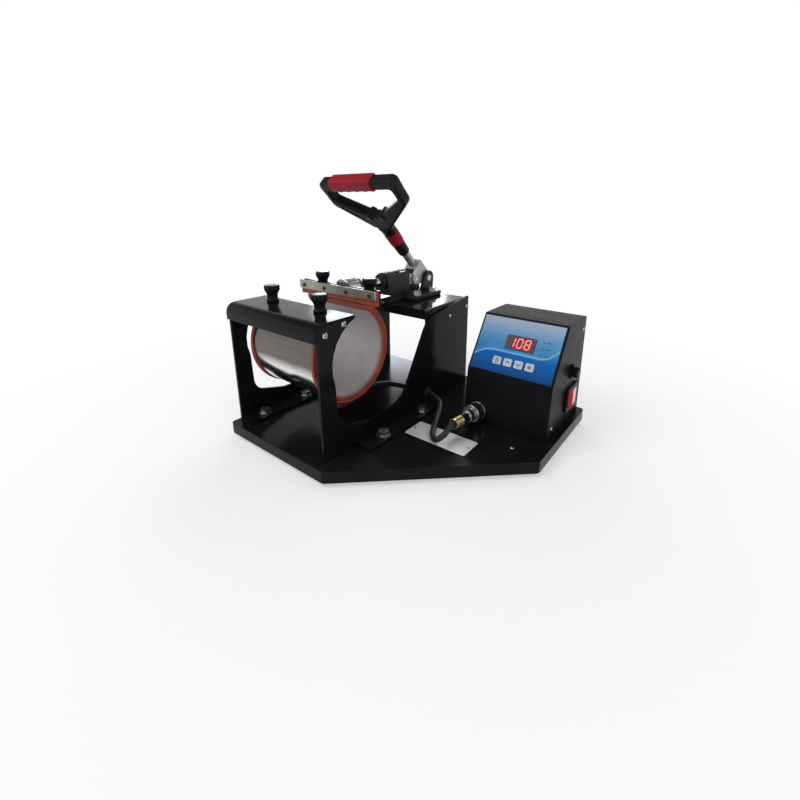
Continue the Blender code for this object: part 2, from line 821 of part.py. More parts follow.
def make_plate_bolts():
    seat = BASE_TOP + SEAT_GAP + PLATE_SHEET + SEAT_GAP
    mesh = bolt_mesh("plate_bolt", seat - BASE_UNDERSIDE + NUT_HEIGHT)
    material = steel("plate_bolt")
    names = ("right_front", "right_rear", "left_front", "left_rear")
    for name, (x, y) in zip(names, plate_bolt_places()):
        place(add_object(f"plate_bolt_{name}", mesh, material), (x, y, seat))


def cover_outline():
    """Return the bent sheet of the front cover as y and z."""
    rear = COVER_FRONT_Y + COVER_DEPTH
    bottom = COVER_TOP - COVER_DROP
    inner = COVER_BEND_RADIUS - COVER_SHEET
    return rounded(
        [
            (COVER_FRONT_Y, bottom, 0),
            (COVER_FRONT_Y + COVER_SHEET, bottom, 0),
            (COVER_FRONT_Y + COVER_SHEET, COVER_TOP - COVER_SHEET, inner),
            (rear, COVER_TOP - COVER_SHEET, 0),
            (rear, COVER_TOP, 0),
            (COVER_FRONT_Y, COVER_TOP, COVER_BEND_RADIUS),
        ]
    )


def cover_tab_outline():
    """Return the ear that the cover's screws go through, clear of the mug's way in."""
    front = COVER_FRONT_Y + COVER_SHEET / 2
    top = COVER_TOP - COVER_SHEET / 2
    bottom = COVER_TOP - COVER_DROP
    radius = NOTCH_RADIUS + COVER_TAB_MARGIN
    start = math.pi - math.asin((top - MUG_AXIS_Z) / radius)
    end = math.pi - math.asin((bottom - MUG_AXIS_Z) / radius)
    edge = arc((MUG_AXIS_Y, MUG_AXIS_Z), radius, start, end)
    bend = COVER_BEND_RADIUS - COVER_SHEET / 2
    return rounded([(front, bottom, 0), (front, top, bend)] + [(y, z, 0) for y, z in edge])


def make_front_cover():
    cover = flat("front_cover", [cover_outline()], PRESS_WIDTH, black_paint("front_cover"))
    place(cover, (PRESS_X, 0, 0), FACING_X)
    for side in (-1, 1):
        tab = flat(f"cover_tab_{side}", [cover_tab_outline()], COVER_SHEET)
        join(cover, place(tab, (PRESS_X + side * (INNER_WIDTH - COVER_SHEET) / 2, 0, 0), FACING_X))
    for side in (-1, 1):
        hole = drill(f"cover_knob_hole_{side}", STUD_RADIUS, COVER_SHEET, RUNNING_GAP)
        cut(cover, place(hole, (PRESS_X + side * KNOB_OFFSET, FRONT_KNOB_Y, COVER_TOP - COVER_SHEET / 2)))


# Heated wrap


def tail_height():
    """Return how high the wrap's lining lies where it passes under the front strip."""
    return COVER_TOP - COVER_SHEET - SEAT_GAP - FRONT_STRIP_THICKNESS - SEAT_GAP


def wrap_path(radius):
    """Return y and z along one surface of the wrap, from its front tail round to its rear bend."""
    outside = WRAP_OUTER_RADIUS - radius
    full = WRAP_OUTER_RADIUS - WRAP_RADIUS
    hook_reach = WRAP_OUTER_RADIUS + HOOK_RADIUS
    hook_z = tail_height() - MUG_AXIS_Z - HOOK_RADIUS - full
    hook_angle = math.pi - math.asin(hook_z / hook_reach)
    hook = (MUG_AXIS_Y + hook_reach * math.cos(hook_angle), MUG_AXIS_Z + hook_z)
    bend_reach = WRAP_OUTER_RADIUS + REAR_BEND_RADIUS
    tail_y = REAR_STRIP_Y + STRIP_THICKNESS + SEAT_GAP
    bend_y = tail_y + REAR_BEND_RADIUS + full - MUG_AXIS_Y
    bend_angle = math.acos(bend_y / bend_reach)
    bend = (MUG_AXIS_Y + bend_y, MUG_AXIS_Z + bend_reach * math.sin(bend_angle))
    points = [(hook[0] - FRONT_TAIL_LENGTH, hook[1] + HOOK_RADIUS + outside)]
    points += swept(hook, HOOK_RADIUS + outside, QUARTER, hook_angle - math.pi)
    points += swept((MUG_AXIS_Y, MUG_AXIS_Z), radius, hook_angle, FULL_TURN + bend_angle)[1:]
    points += swept(bend, REAR_BEND_RADIUS + outside, math.pi + bend_angle, math.pi)[1:]
    return points


def swept(centre, radius, start, end):
    count = max(1, math.ceil(abs(end - start) / WRAP_STEP))
    angles = [start + (end - start) * step / count for step in range(count + 1)]
    return [(centre[0] + radius * math.cos(angle), centre[1] + radius * math.sin(angle)) for angle in angles]


def band(name, path, width, centre_x, thickness, material):
    """Make a bent sheet: the path is its middle surface, seen along X."""
    left, right = centre_x - width / 2, centre_x + width / 2
    vertices = [(x, y, z) for y, z in path for x in (left, right)]
    faces = [(2 * step, 2 * step + 2, 2 * step + 3, 2 * step + 1) for step in range(len(path) - 1)]
    mesh = bpy.data.meshes.new(name)
    mesh.from_pydata(vertices, [], faces)
    obj = add_object(name, mesh, material)
    solid = obj.modifiers.new("sheet", "SOLIDIFY")
    solid.thickness = thickness
    solid.offset = 0
    solid.use_even_offset = True
    return obj


def wrap_bend_top():
    return wrap_path(WRAP_RADIUS)[-1][1]


def make_wrap():
    lining = WRAP_RADIUS + MAT_THICKNESS / 2
    band("heater_mat", wrap_path(lining), WRAP_LENGTH, PRESS_X, MAT_THICKNESS, red_rubber("heater_mat"))
    outside = WRAP_RADIUS + MAT_THICKNESS + SEAT_GAP
    shell_width = WRAP_LENGTH - 2 * (EDGE_WIDTH + SEAT_GAP)
    path = wrap_path(outside + SHELL_THICKNESS / 2)
    band("heater_shell", path, shell_width, PRESS_X, SHELL_THICKNESS, steel("heater_shell"))
    path = wrap_path(outside + EDGE_THICKNESS / 2)
    for name, side in (("heater_edge_left", -1), ("heater_edge_right", 1)):
        centre_x = PRESS_X + side * (WRAP_LENGTH - EDGE_WIDTH) / 2
        band(name, path, EDGE_WIDTH, centre_x, EDGE_THICKNESS, red_rubber(name))


def make_terminal_cover():
    """Make the cover of the heater's terminals, hollowed to sit against the shell's underside."""
    material = finish("terminal_cover", (0.10, 0.03, 0.02), 0.6)
    cover = block("terminal_cover", (TERMINAL_WIDTH, TERMINAL_DEPTH, TERMINAL_DROP), material)
    shell_radius = WRAP_RADIUS + MAT_THICKNESS + SEAT_GAP + SHELL_THICKNESS
    bottom = MUG_AXIS_Z - shell_radius - TERMINAL_DROP + BASE_SHEET
    place(cover, (TERMINAL_X, MUG_AXIS_Y, bottom + TERMINAL_DROP / 2))
    bevel(cover, TERMINAL_EDGE)
    seat = cylinder("terminal_seat", shell_radius + SEAT_GAP, TERMINAL_WIDTH + 2 * OVERRUN, sides=SEAT_SIDES)
    cut(cover, place(seat, (TERMINAL_X, MUG_AXIS_Y, MUG_AXIS_Z), FACING_X))
    entry = cylinder("terminal_entry", CABLE_RADIUS + SEAT_GAP, 2 * OVERRUN, sides=HOLE_SIDES)
    place(entry, terminal_entry(), FACING_FRONT)
    cut(cover, entry)


def terminal_entry():
    """Return where the cable ends, in the rear face of the terminal cover."""
    shell_radius = WRAP_RADIUS + MAT_THICKNESS + SEAT_GAP + SHELL_THICKNESS
    height = MUG_AXIS_Z - shell_radius - TERMINAL_DROP / 2
    return (TERMINAL_X, MUG_AXIS_Y + TERMINAL_DEPTH / 2, height)


# Strips, holder and knobs


def make_strips():
    height = REAR_STRIP_TOP - REAR_STRIP_BOTTOM
    material = finish("rear_strip", (0.68, 0.64, 0.55), 0.35, 1.0)
    strip = block("rear_strip", (STRIP_WIDTH, STRIP_THICKNESS, height), material)
    place(strip, (PRESS_X, REAR_STRIP_Y + STRIP_THICKNESS / 2, REAR_STRIP_BOTTOM + height / 2))
    bevel(strip, STRIP_EDGE, 1)
    flap_bottom = wrap_bend_top() + SEAT_GAP
    flap_height = REAR_STRIP_TOP - STRIP_EDGE - flap_bottom
    flap = block("clamp_flap", (STRIP_WIDTH, MAT_THICKNESS, flap_height), red_rubber("clamp_flap"))
    flap_y = REAR_STRIP_Y + STRIP_THICKNESS + SEAT_GAP + MAT_THICKNESS / 2
    place(flap, (PRESS_X, flap_y, flap_bottom + flap_height / 2))
    front_y = wrap_path(WRAP_RADIUS)[0][0]
    depth = FRONT_STRIP_REAR_Y - front_y
    bar = block("front_strip", (STRIP_WIDTH, depth, FRONT_STRIP_THICKNESS), steel("front_strip"))
    bar_z = COVER_TOP - COVER_SHEET - SEAT_GAP - FRONT_STRIP_THICKNESS / 2
    place(bar, (PRESS_X, front_y + depth / 2, bar_z))
    for side in (-1, 1):
        hole = drill(f"strip_knob_hole_{side}", STUD_RADIUS, FRONT_STRIP_THICKNESS, RUNNING_GAP)
        cut(bar, place(hole, (PRESS_X + side * KNOB_OFFSET, FRONT_KNOB_Y, bar_z)))


def holder_front():
    return REAR_STRIP_Y + STRIP_THICKNESS + SEAT_GAP + MAT_THICKNESS + SEAT_GAP


def make_rear_holder():
    """Make the angle that backs the flap and carries the rear knobs, slotted round the yoke."""
    front = holder_front()
    rear = front + HOLDER_DEPTH
    bottom = HOLDER_FLANGE_BOTTOM
    step = bottom + HOLDER_FLANGE_THICKNESS
    outline = [
        (front, bottom - STRIP_THICKNESS),
        (front + STRIP_THICKNESS, bottom - STRIP_THICKNESS),
        (front + STRIP_THICKNESS, bottom),
        (rear, bottom),
        (rear, step),
        (front + STRIP_THICKNESS, step),
        (front + STRIP_THICKNESS, REAR_STRIP_TOP),
        (front, REAR_STRIP_TOP),
    ]
    holder = flat("rear_holder", [outline], STRIP_WIDTH, steel("rear_holder"))
    place(holder, (PRESS_X, 0, 0), FACING_X)
    slot = block("holder_slot", (HOLDER_SLOT_WIDTH, HOLDER_DEPTH, REAR_STRIP_TOP - bottom))
    slot_y = front + STRIP_THICKNESS + SEAT_GAP + HOLDER_DEPTH / 2
    place(slot, (PRESS_X, slot_y, bottom + STRIP_THICKNESS / 2))
    cut(holder, slot)
    for side in (-1, 1):
        hole = drill(f"holder_knob_hole_{side}", STUD_RADIUS, HOLDER_FLANGE_THICKNESS, RUNNING_GAP)
        place(hole, (PRESS_X + side * KNOB_OFFSET, REAR_KNOB_Y, bottom + HOLDER_FLANGE_THICKNESS / 2))
        cut(holder, hole)


def knob_mesh(name, stud_length):
    """Return a waisted knob with a fluted rim and a stud below it; its seat is at height zero."""
    profile = [
        (0, KNOB_HEIGHT),
        (KNOB_TOP_RADIUS - KNOB_RIM_EDGE, KNOB_HEIGHT - KNOB_CROWN),
        (KNOB_TOP_RADIUS, KNOB_HEIGHT - KNOB_CROWN - KNOB_RIM_EDGE),
        (KNOB_TOP_RADIUS, KNOB_FLARE_HEIGHT),
        (KNOB_WAIST_RADIUS, KNOB_WAIST_HEIGHT),
        (KNOB_WAIST_RADIUS, KNOB_BASE_HEIGHT + KNOB_RIM_EDGE),
        (KNOB_BASE_RADIUS, KNOB_BASE_HEIGHT),
        (KNOB_BASE_RADIUS, 0),
        (STUD_RADIUS, 0),
        (STUD_RADIUS, -stud_length),
        (0, -stud_length),
    ]
    knob = turned(f"{name}_body", profile, steps=KNOB_STEPS)
    flute = cylinder(f"{name}_flute", KNOB_FLUTE_RADIUS, KNOB_HEIGHT, sides=4)
    work = bmesh.new()
    work.from_mesh(flute.data)
    first = list(work.verts) + list(work.edges) + list(work.faces)
    middle = KNOB_FLARE_HEIGHT + KNOB_RIM_EDGE / 2 + KNOB_HEIGHT / 2
    bmesh.ops.translate(work, vec=(KNOB_TOP_RADIUS + KNOB_FLUTE_RADIUS / 2, 0, middle), verts=work.verts)
    bmesh.ops.spin(
        work,
        geom=first,
        cent=(0, 0, 0),
        axis=(0, 0, 1),
        angle=FULL_TURN * (KNOB_FLUTES - 1) / KNOB_FLUTES,
        steps=KNOB_FLUTES - 1,
        use_duplicate=True,
    )
    work.to_mesh(flute.data)
    work.free()
    cut(knob, flute)
    mesh = mesh_of(knob)
    mesh.name = name
    return mesh


def make_knobs():
    lid = COVER_SHEET + SEAT_GAP + FRONT_STRIP_THICKNESS
    places = {
        "front_knob": (FRONT_KNOB_Y, COVER_TOP + SEAT_GAP, lid),
        "rear_knob": (
            REAR_KNOB_Y,
            HOLDER_FLANGE_BOTTOM + HOLDER_FLANGE_THICKNESS + SEAT_GAP,
            HOLDER_FLANGE_THICKNESS + SEAT_GAP + CARRIER_THICKNESS,
        ),
    }
    for kind, (y, z, stud_length) in places.items():
        mesh = knob_mesh(kind, stud_length)
        material = black_plastic(kind)
        for name, side in (("left", -1), ("right", 1)):
            knob = add_object(f"{kind}_{name}", mesh, material)
            place(knob, (PRESS_X + side * KNOB_OFFSET, y, z))


# Plunger


def make_yoke():
    """Make the carrier bar, the domed block that the rod pushes and the tongue that keeps them level."""
    rear = ROD_FRONT_Y - SEAT_GAP
    depth = rear - YOKE_FRONT_Y
    bar_top = HOLDER_FLANGE_BOTTOM - SEAT_GAP
    bar_bottom = bar_top - CARRIER_THICKNESS
    half = YOKE_WIDTH / 2
    dome = arc((0, ROD_Z), YOKE_DOME_RADIUS, 0, math.pi)
    low = bar_bottom - YOKE_EDGE
    outline = [(-half, low), (half, low)] + dome
    yoke = flat("plunger_yoke", [outline], depth, steel("plunger_yoke"))
    place(yoke, (PRESS_X, YOKE_FRONT_Y + depth / 2, 0), FACING_FRONT)
    bevel(yoke, YOKE_EDGE, 1)
    bar_depth = HOLDER_DEPTH - STRIP_THICKNESS
    bar = block("carrier_bar", (CARRIER_WIDTH, bar_depth, CARRIER_THICKNESS))
    bar_y = holder_front() + STRIP_THICKNESS + SEAT_GAP + bar_depth / 2
    place(bar, (PRESS_X, bar_y, (bar_top + bar_bottom) / 2))
    bevel(bar, CARRIER_EDGE, 1)
    join(yoke, bar)
    level = TOP_PLATE_Z + SEAT_GAP
    under = level + TONGUE_THICKNESS
    back = rear - YOKE_EDGE
    bent = rounded(
        [
            (back - TONGUE_THICKNESS, bar_top - SEAT_GAP, 0),
            (back - TONGUE_THICKNESS, level, TONGUE_BEND_RADIUS),
            (TONGUE_REAR_Y, level, 0),
            (TONGUE_REAR_Y, under, 0),
            (back, under, TONGUE_BEND_RADIUS - TONGUE_THICKNESS),
            (back, bar_top - SEAT_GAP, 0),
        ]
    )
    tongue = flat("yoke_tongue", [bent], TONGUE_WIDTH)
    join(yoke, place(tongue, (PRESS_X, 0, 0), FACING_X))
    for side in (-1, 1):
        hole = drill(f"carrier_knob_hole_{side}", STUD_RADIUS, CARRIER_THICKNESS, RUNNING_GAP)
        cut(yoke, place(hole, (PRESS_X + side * KNOB_OFFSET, REAR_KNOB_Y, (bar_top + bar_bottom) / 2)))


def pin_hole(name, radius, length, place_y, place_z, parent=None, centre_x=PRESS_X):
    """Return a cutter along X for a pin of the stated radius, with its running gap."""
    hole = cylinder(name, radius + RUNNING_GAP, length + OVERRUN)
    return place(hole, (centre_x, place_y, place_z), FACING_X, parent)


def plunger_pin_y():
    """Return where the link's far eye lies at rest, from the lever's arm and the link's length."""
    arm_y, arm_z = lever_pin_place()
    return arm_y - math.sqrt(LINK_LENGTH**2 - (arm_z - ROD_Z) ** 2)


def lever_pin_place():
    """Return y and z of the pin between lever and link at rest."""
    angle = LEVER_ARM_ANGLE + HANDLE_LEAN
    return PIVOT_Y + LEVER_ARM * math.cos(angle), PIVOT_Z + LEVER_ARM * math.sin(angle)


def make_plunger():
    length = ROD_REAR_Y - ROD_FRONT_Y
    rod = cylinder("plunger_rod", ROD_RADIUS, length, finish("plunger_rod", (0.8, 0.8, 0.8), 0.15, 1.0))
    place(rod, (PRESS_X, ROD_FRONT_Y + length / 2, ROD_Z), FACING_FRONT)
    flat_length = ROD_REAR_Y - ROD_FLAT_FRONT_Y
    for side in (-1, 1):
        side_cut = block(f"rod_flat_{side}", (ROD_RADIUS, flat_length + OVERRUN, 2 * ROD_RADIUS + OVERRUN))
        centre_x = PRESS_X + side * (ROD_FLAT_HALF + ROD_RADIUS / 2)
        cut(rod, place(side_cut, (centre_x, ROD_FLAT_FRONT_Y + (flat_length + OVERRUN) / 2, ROD_Z)))
    cut(rod, pin_hole("rod_pin_hole", PLUNGER_PIN_RADIUS, 2 * ROD_RADIUS, plunger_pin_y(), ROD_Z))
    pin = cylinder("plunger_pin", PLUNGER_PIN_RADIUS, 2 * LINK_OUTER_X, steel("plunger_pin"))
    place(pin, (PRESS_X, plunger_pin_y(), ROD_Z), FACING_X)


def make_lock_nut():
    radius = LOCK_NUT_WIDTH / math.sqrt(3)
    material = finish("lock_nut", (0.03, 0.03, 0.03), 0.4, 0.5)
    nut = cylinder("lock_nut", radius, LOCK_NUT_LENGTH, material, HEX_SIDES)
    place(nut, (PRESS_X, ROD_FRONT_Y + LOCK_NUT_LENGTH / 2, ROD_Z), FACING_FRONT)
    bevel(nut, LOCK_NUT_EDGE, 1)
    bore = cylinder("lock_nut_bore", ROD_RADIUS + RUNNING_GAP, LOCK_NUT_LENGTH + OVERRUN)
    cut(nut, place(bore, nut.location, FACING_FRONT))


# Clamp


def casting_bolt_places():
    return [(PRESS_X + side * CASTING_BOLT_OFFSET, y) for y in CASTING_BOLTS_Y for side in (-1, 1)]


def make_rear_top_plate():
    """Make the channel between the side plates that carries the clamp, with a lip along its front."""
    half = INNER_WIDTH / 2
    top, low = TOP_PLATE_Z, TOP_PLATE_Z - TOP_PLATE_TAB
    sheet, bend = TOP_PLATE_SHEET, TOP_PLATE_BEND_RADIUS
    outline = rounded(
        [
            (-half, low, 0),
            (-half + sheet, low, 0),
            (-half + sheet, top - sheet, bend - sheet),
            (half - sheet, top - sheet, bend - sheet),
            (half - sheet, low, 0),
            (half, low, 0),
            (half, top, bend),
            (-half, top, bend),
        ]
    )
    rear = BASE_REAR_Y - REAR_SETBACK
    depth = rear - TOP_PLATE_FRONT_Y
    plate = flat("rear_top_plate", [outline], depth, black_paint("rear_top_plate"))
    place(plate, (PRESS_X, TOP_PLATE_FRONT_Y + depth / 2, 0), FACING_FRONT)
    lip = block("top_plate_lip", (INNER_WIDTH - 2 * sheet, sheet, TOP_PLATE_LIP))
    lip_z = top - TOP_PLATE_LIP / 2 - sheet / 4
    join(plate, place(lip, (PRESS_X, TOP_PLATE_FRONT_Y + sheet / 2, lip_z)))
    for number, (x, y) in enumerate(casting_bolt_places(), 1):
        hole = drill(f"top_plate_hole_{number}", BOLT_SHANK_RADIUS, sheet)
        cut(plate, place(hole, (x, y, top - sheet / 2)))


def make_clamp_casting():
    """Make the clamp's body: a guide barrel, a bolted foot and two ears for the handle's pivot."""
    base_z = TOP_PLATE_Z + SEAT_GAP
    foot_top = base_z + CASTING_FLANGE_THICKNESS
    front, rear = CASTING_FRONT_Y + CASTING_NOSE_SETBACK, CASTING_FLANGE_REAR_Y
    shoulder = CASTING_FLANGE_FRONT_Y
    depth = rear - shoulder
    outline = rectangle(CASTING_FLANGE_WIDTH, depth, CASTING_FLANGE_CORNER, (0, shoulder + depth / 2))
    material = finish("clamp_casting", (0.02, 0.02, 0.02), 0.35)
    casting = flat("clamp_casting", [outline], CASTING_FLANGE_THICKNESS, material)
    place(casting, (PRESS_X, 0, base_z + CASTING_FLANGE_THICKNESS / 2))
    bevel(casting, CASTING_EDGE, 1)
    nose_length = shoulder - front + CASTING_FLANGE_CORNER
    nose_height = CASTING_FLANGE_THICKNESS - CASTING_EDGE
    nose = block("casting_nose", (2 * CASTING_NOSE_HALF, nose_length, nose_height))
    place(nose, (PRESS_X, front + nose_length / 2, base_z + nose_height / 2))

    barrel_length = BARREL_REAR_Y - CASTING_FRONT_Y
    sunk = foot_top - CASTING_FLANGE_THICKNESS / 2
    dome = arc((0, ROD_Z), BARREL_RADIUS, 0, math.pi)
    barrel = flat("casting_barrel", [[(-BARREL_RADIUS, sunk), (BARREL_RADIUS, sunk)] + dome], barrel_length)
    place(barrel, (PRESS_X, CASTING_FRONT_Y + barrel_length / 2, 0), FACING_FRONT)
    bevel(barrel, CASTING_EDGE, 1)

    ear_outline = [(EAR_FOOT_FRONT_Y, sunk), (CASTING_FLANGE_REAR_Y - 2 * CASTING_EDGE, sunk)]
    ear_outline += arc((PIVOT_Y, PIVOT_Z), EAR_RADIUS, 0, math.pi)
    ears = []
    for side in (-1, 1):
        ear = flat(f"casting_ear_{side}", [ear_outline], EAR_THICKNESS)
        place(ear, (PRESS_X + side * (EAR_INNER_X + EAR_THICKNESS / 2), 0, 0), FACING_X)
        ears.append(bevel(ear, CASTING_EDGE, 1))
    join(casting, nose, barrel, *ears)

    bore_length = BARREL_BORE_REAR_Y - CASTING_FRONT_Y
    bore = cylinder("barrel_bore", ROD_RADIUS + RUNNING_GAP, bore_length + OVERRUN)
    place(bore, (PRESS_X, CASTING_FRONT_Y + bore_length / 2, ROD_Z), FACING_FRONT)
    channel_length = BARREL_REAR_Y - BARREL_BORE_REAR_Y + OVERRUN
    channel = block("barrel_channel", (2 * CHANNEL_HALF_WIDTH, channel_length, CHANNEL_TOP - CHANNEL_FLOOR))
    place(channel, (PRESS_X, BARREL_BORE_REAR_Y + channel_length / 2, (CHANNEL_TOP + CHANNEL_FLOOR) / 2))
    groove_length = TONGUE_REAR_Y + plunger_travel() + SEAT_GAP - CASTING_FRONT_Y + OVERRUN
    groove_height = TONGUE_THICKNESS + 2 * SEAT_GAP
    groove = block("casting_groove", (TONGUE_WIDTH + 2 * SEAT_GAP, groove_length, groove_height))
    groove_y = CASTING_FRONT_Y - OVERRUN + groove_length / 2
    place(groove, (PRESS_X, groove_y, TOP_PLATE_Z + groove_height / 2))
    cut(casting, bore, channel, groove)
    cut(casting, pin_hole("casting_pivot_hole", PIVOT_PIN_RADIUS, 2 * EAR_OUTER_X, PIVOT_Y, PIVOT_Z))
    for number, (x, y) in enumerate(casting_bolt_places(), 1):
        hole = drill(f"casting_bolt_hole_{number}", BOLT_SHANK_RADIUS, CASTING_FLANGE_THICKNESS)
        cut(casting, place(hole, (x, y, base_z + CASTING_FLANGE_THICKNESS / 2)))


def plunger_travel():
    """Return how far the plunger goes back over the whole swing of the handle."""
    angle = LEVER_ARM_ANGLE + HANDLE_LEAN - HANDLE_SWING
    arm_y = PIVOT_Y + LEVER_ARM * math.cos(angle)
    arm_z = PIVOT_Z + LEVER_ARM * math.sin(angle)
    return arm_y - math.sqrt(LINK_LENGTH**2 - (arm_z - ROD_Z) ** 2) - plunger_pin_y()


def make_casting_bolts():
    seat = TOP_PLATE_Z + SEAT_GAP + CASTING_FLANGE_THICKNESS + SEAT_GAP
    mesh = bolt_mesh("clamp_bolt", seat - TOP_PLATE_Z + TOP_PLATE_SHEET + NUT_HEIGHT)
    material = steel("clamp_bolt")
    names = ("front_left", "front_right", "rear_left", "rear_right")
    for name, (x, y) in zip(names, casting_bolt_places()):
        place(add_object(f"clamp_bolt_{name}", mesh, material), (x, y, seat))


def make_link():
    """Make the two link plates and the strap that joins them; the origin is the pin on the lever."""
    arm_y, arm_z = lever_pin_place()
    angle = math.atan2(ROD_Z - arm_z, plunger_pin_y() - arm_y)
    pivot = empty("link_pivot", (PRESS_X, arm_y, arm_z), (angle, 0, 0))
    near = arc((0, 0), LINK_EYE_RADIUS, QUARTER, FULL_TURN - QUARTER)
    far = arc((LINK_FAR_REACH, LINK_WINDOW_RISE), LINK_FAR_RADIUS, -QUARTER, QUARTER)
    window_centre = (LINK_WINDOW_CENTRE, LINK_WINDOW_RISE)
    slot = rectangle(LINK_WINDOW_LENGTH, LINK_WINDOW_HEIGHT, LINK_WINDOW_CORNER, window_centre)
    hole = circle((0, 0), LINK_PIN_RADIUS + RUNNING_GAP)
    loops = [near + far, hole, slot]
    middle = LINK_INNER_X + LINK_SHEET / 2
    link = flat("toggle_link", loops, LINK_SHEET, steel("toggle_link"))
    place(link, (middle, 0, 0), FACING_X, pivot)
    other = flat("link_plate", loops, LINK_SHEET)
    place(other, (-middle, 0, 0), FACING_X, pivot)
    strap = block("link_strap", (2 * LINK_INNER_X + LINK_SHEET, LINK_STRAP_LENGTH, LINK_SHEET / 2))
    strap_y = LINK_PIN_RADIUS + RUNNING_GAP + LINK_STRAP_LENGTH
    place(strap, (0, strap_y, LINK_EYE_RADIUS - LINK_SHEET / 4 - SEAT_GAP), (0, 0, 0), pivot)
    join(link, other, strap)
    return pivot


def make_lever(pivot):
    """Make the forked lever and its shaft, upright over the pivot; pins run along X."""
    arm = (LEVER_ARM * math.cos(LEVER_ARM_ANGLE), LEVER_ARM * math.sin(LEVER_ARM_ANGLE))
    nose_start = LEVER_ARM_ANGLE + QUARTER
    outline = arc((0, 0), LEVER_EYE_RADIUS, math.pi, FULL_TURN)
    outline += [(WEB_REAR, WEB_BOTTOM), (WEB_REAR, WEB_TOP), (WEB_FRONT, WEB_TOP)]
    outline += arc(arm, LEVER_NOSE_RADIUS, QUARTER, nose_start)
    holes = [
        circle((0, 0), PIVOT_PIN_RADIUS + RUNNING_GAP),
        circle(arm, LINK_PIN_RADIUS + RUNNING_GAP),
    ]
    middle = LEVER_INNER_X + LEVER_SHEET / 2
    lever = flat("handle_lever", [outline] + holes, LEVER_SHEET, steel("handle_lever"))
    place(lever, (middle, 0, 0), FACING_X, pivot)
    other = flat("lever_plate", [outline] + holes, LEVER_SHEET)
    place(other, (-middle, 0, 0), FACING_X, pivot)
    web_depth = WEB_REAR - WEB_FRONT
    web = block("lever_web", (2 * middle, web_depth, WEB_TOP - WEB_BOTTOM))
    place(web, (0, (WEB_REAR + WEB_FRONT) / 2, (WEB_TOP + WEB_BOTTOM) / 2), (0, 0, 0), pivot)
    shaft = cylinder("lever_shaft", SHAFT_RADIUS, SHAFT_TOP - SHAFT_ROOT)
    place(shaft, (0, 0, (SHAFT_TOP + SHAFT_ROOT) / 2), (0, 0, 0), pivot)
    join(lever, other, web, shaft)
    pin = cylinder("link_pin", LINK_PIN_RADIUS, 2 * LEVER_OUTER_X, steel("link_pin"))
    place(pin, (0, *arm), FACING_X, pivot)


def make_pivot_pin():
    pin = cylinder("pivot_pin", PIVOT_PIN_RADIUS, 2 * EAR_OUTER_X, steel("pivot_pin"))
    place(pin, (PRESS_X, PIVOT_Y, PIVOT_Z), FACING_X)


# Handle


def handle_outline():
    top = GRIP_CENTRE + GRIP_HALF_HEIGHT
    half, shoulder, collar = HANDLE_HALF_WIDTH, HANDLE_SHOULDER_HALF, HANDLE_COLLAR_HALF
    right = [
        (collar, HANDLE_COLLAR, 0),
        (shoulder, HANDLE_SHOULDER, HANDLE_SHOULDER_RADIUS),
        (half, HANDLE_SIDE_BOTTOM, HANDLE_SIDE_RADIUS),
        (half, top, HANDLE_TOP_RADIUS),
    ]
    left = [(-x, z, radius) for x, z, radius in reversed(right)]
    return rounded(right + left)


def window_outline():
    half, low = WINDOW_HALF_WIDTH, WINDOW_BOTTOM_HALF
    right = [
        (low, WINDOW_BOTTOM, WINDOW_RADIUS),
        (half, WINDOW_SIDE_BOTTOM, WINDOW_RADIUS),
        (half, WINDOW_TOP, WINDOW_RADIUS),
    ]
    left = [(-x, z, radius) for x, z, radius in reversed(right)]
    return rounded(right + left)


def make_grip(pivot):
    """Make the red sleeve round the handle's bar, with finger hollows along its lower side."""
    length = GRIP_RIGHT - GRIP_LEFT
    middle = (GRIP_RIGHT + GRIP_LEFT) / 2
    height = 2 * GRIP_HALF_HEIGHT + GRIP_WALL
    grip = block("handle_grip", (length, HANDLE_THICKNESS + GRIP_WALL, height), red_rubber("handle_grip"))
    place(grip, (middle, 0, GRIP_CENTRE), (0, 0, 0), pivot)
    bevel(grip, GRIP_EDGE, 2)
    pitch = length / FINGER_COUNT
    chord = pitch - FINGER_RIDGE
    radius = (chord**2 / 4 + FINGER_DEPTH**2) / (2 * FINGER_DEPTH)
    centre_z = GRIP_CENTRE - height / 2 + FINGER_DEPTH - radius
    finger_length = HANDLE_THICKNESS + GRIP_WALL + OVERRUN
    for number in range(FINGER_COUNT):
        finger = cylinder(f"finger_{number + 1}", radius, finger_length, sides=FINGER_SIDES)
        x = GRIP_LEFT + pitch * (number + 1 / 2)
        cut(grip, place(finger, (x, 0, centre_z), FACING_FRONT, pivot))
    core = 2 * (GRIP_CORE_HALF + SEAT_GAP)
    hollow = block("grip_hollow", (length + OVERRUN, core, core))
    cut(grip, place(hollow, (middle, 0, GRIP_CENTRE), (0, 0, 0), pivot))


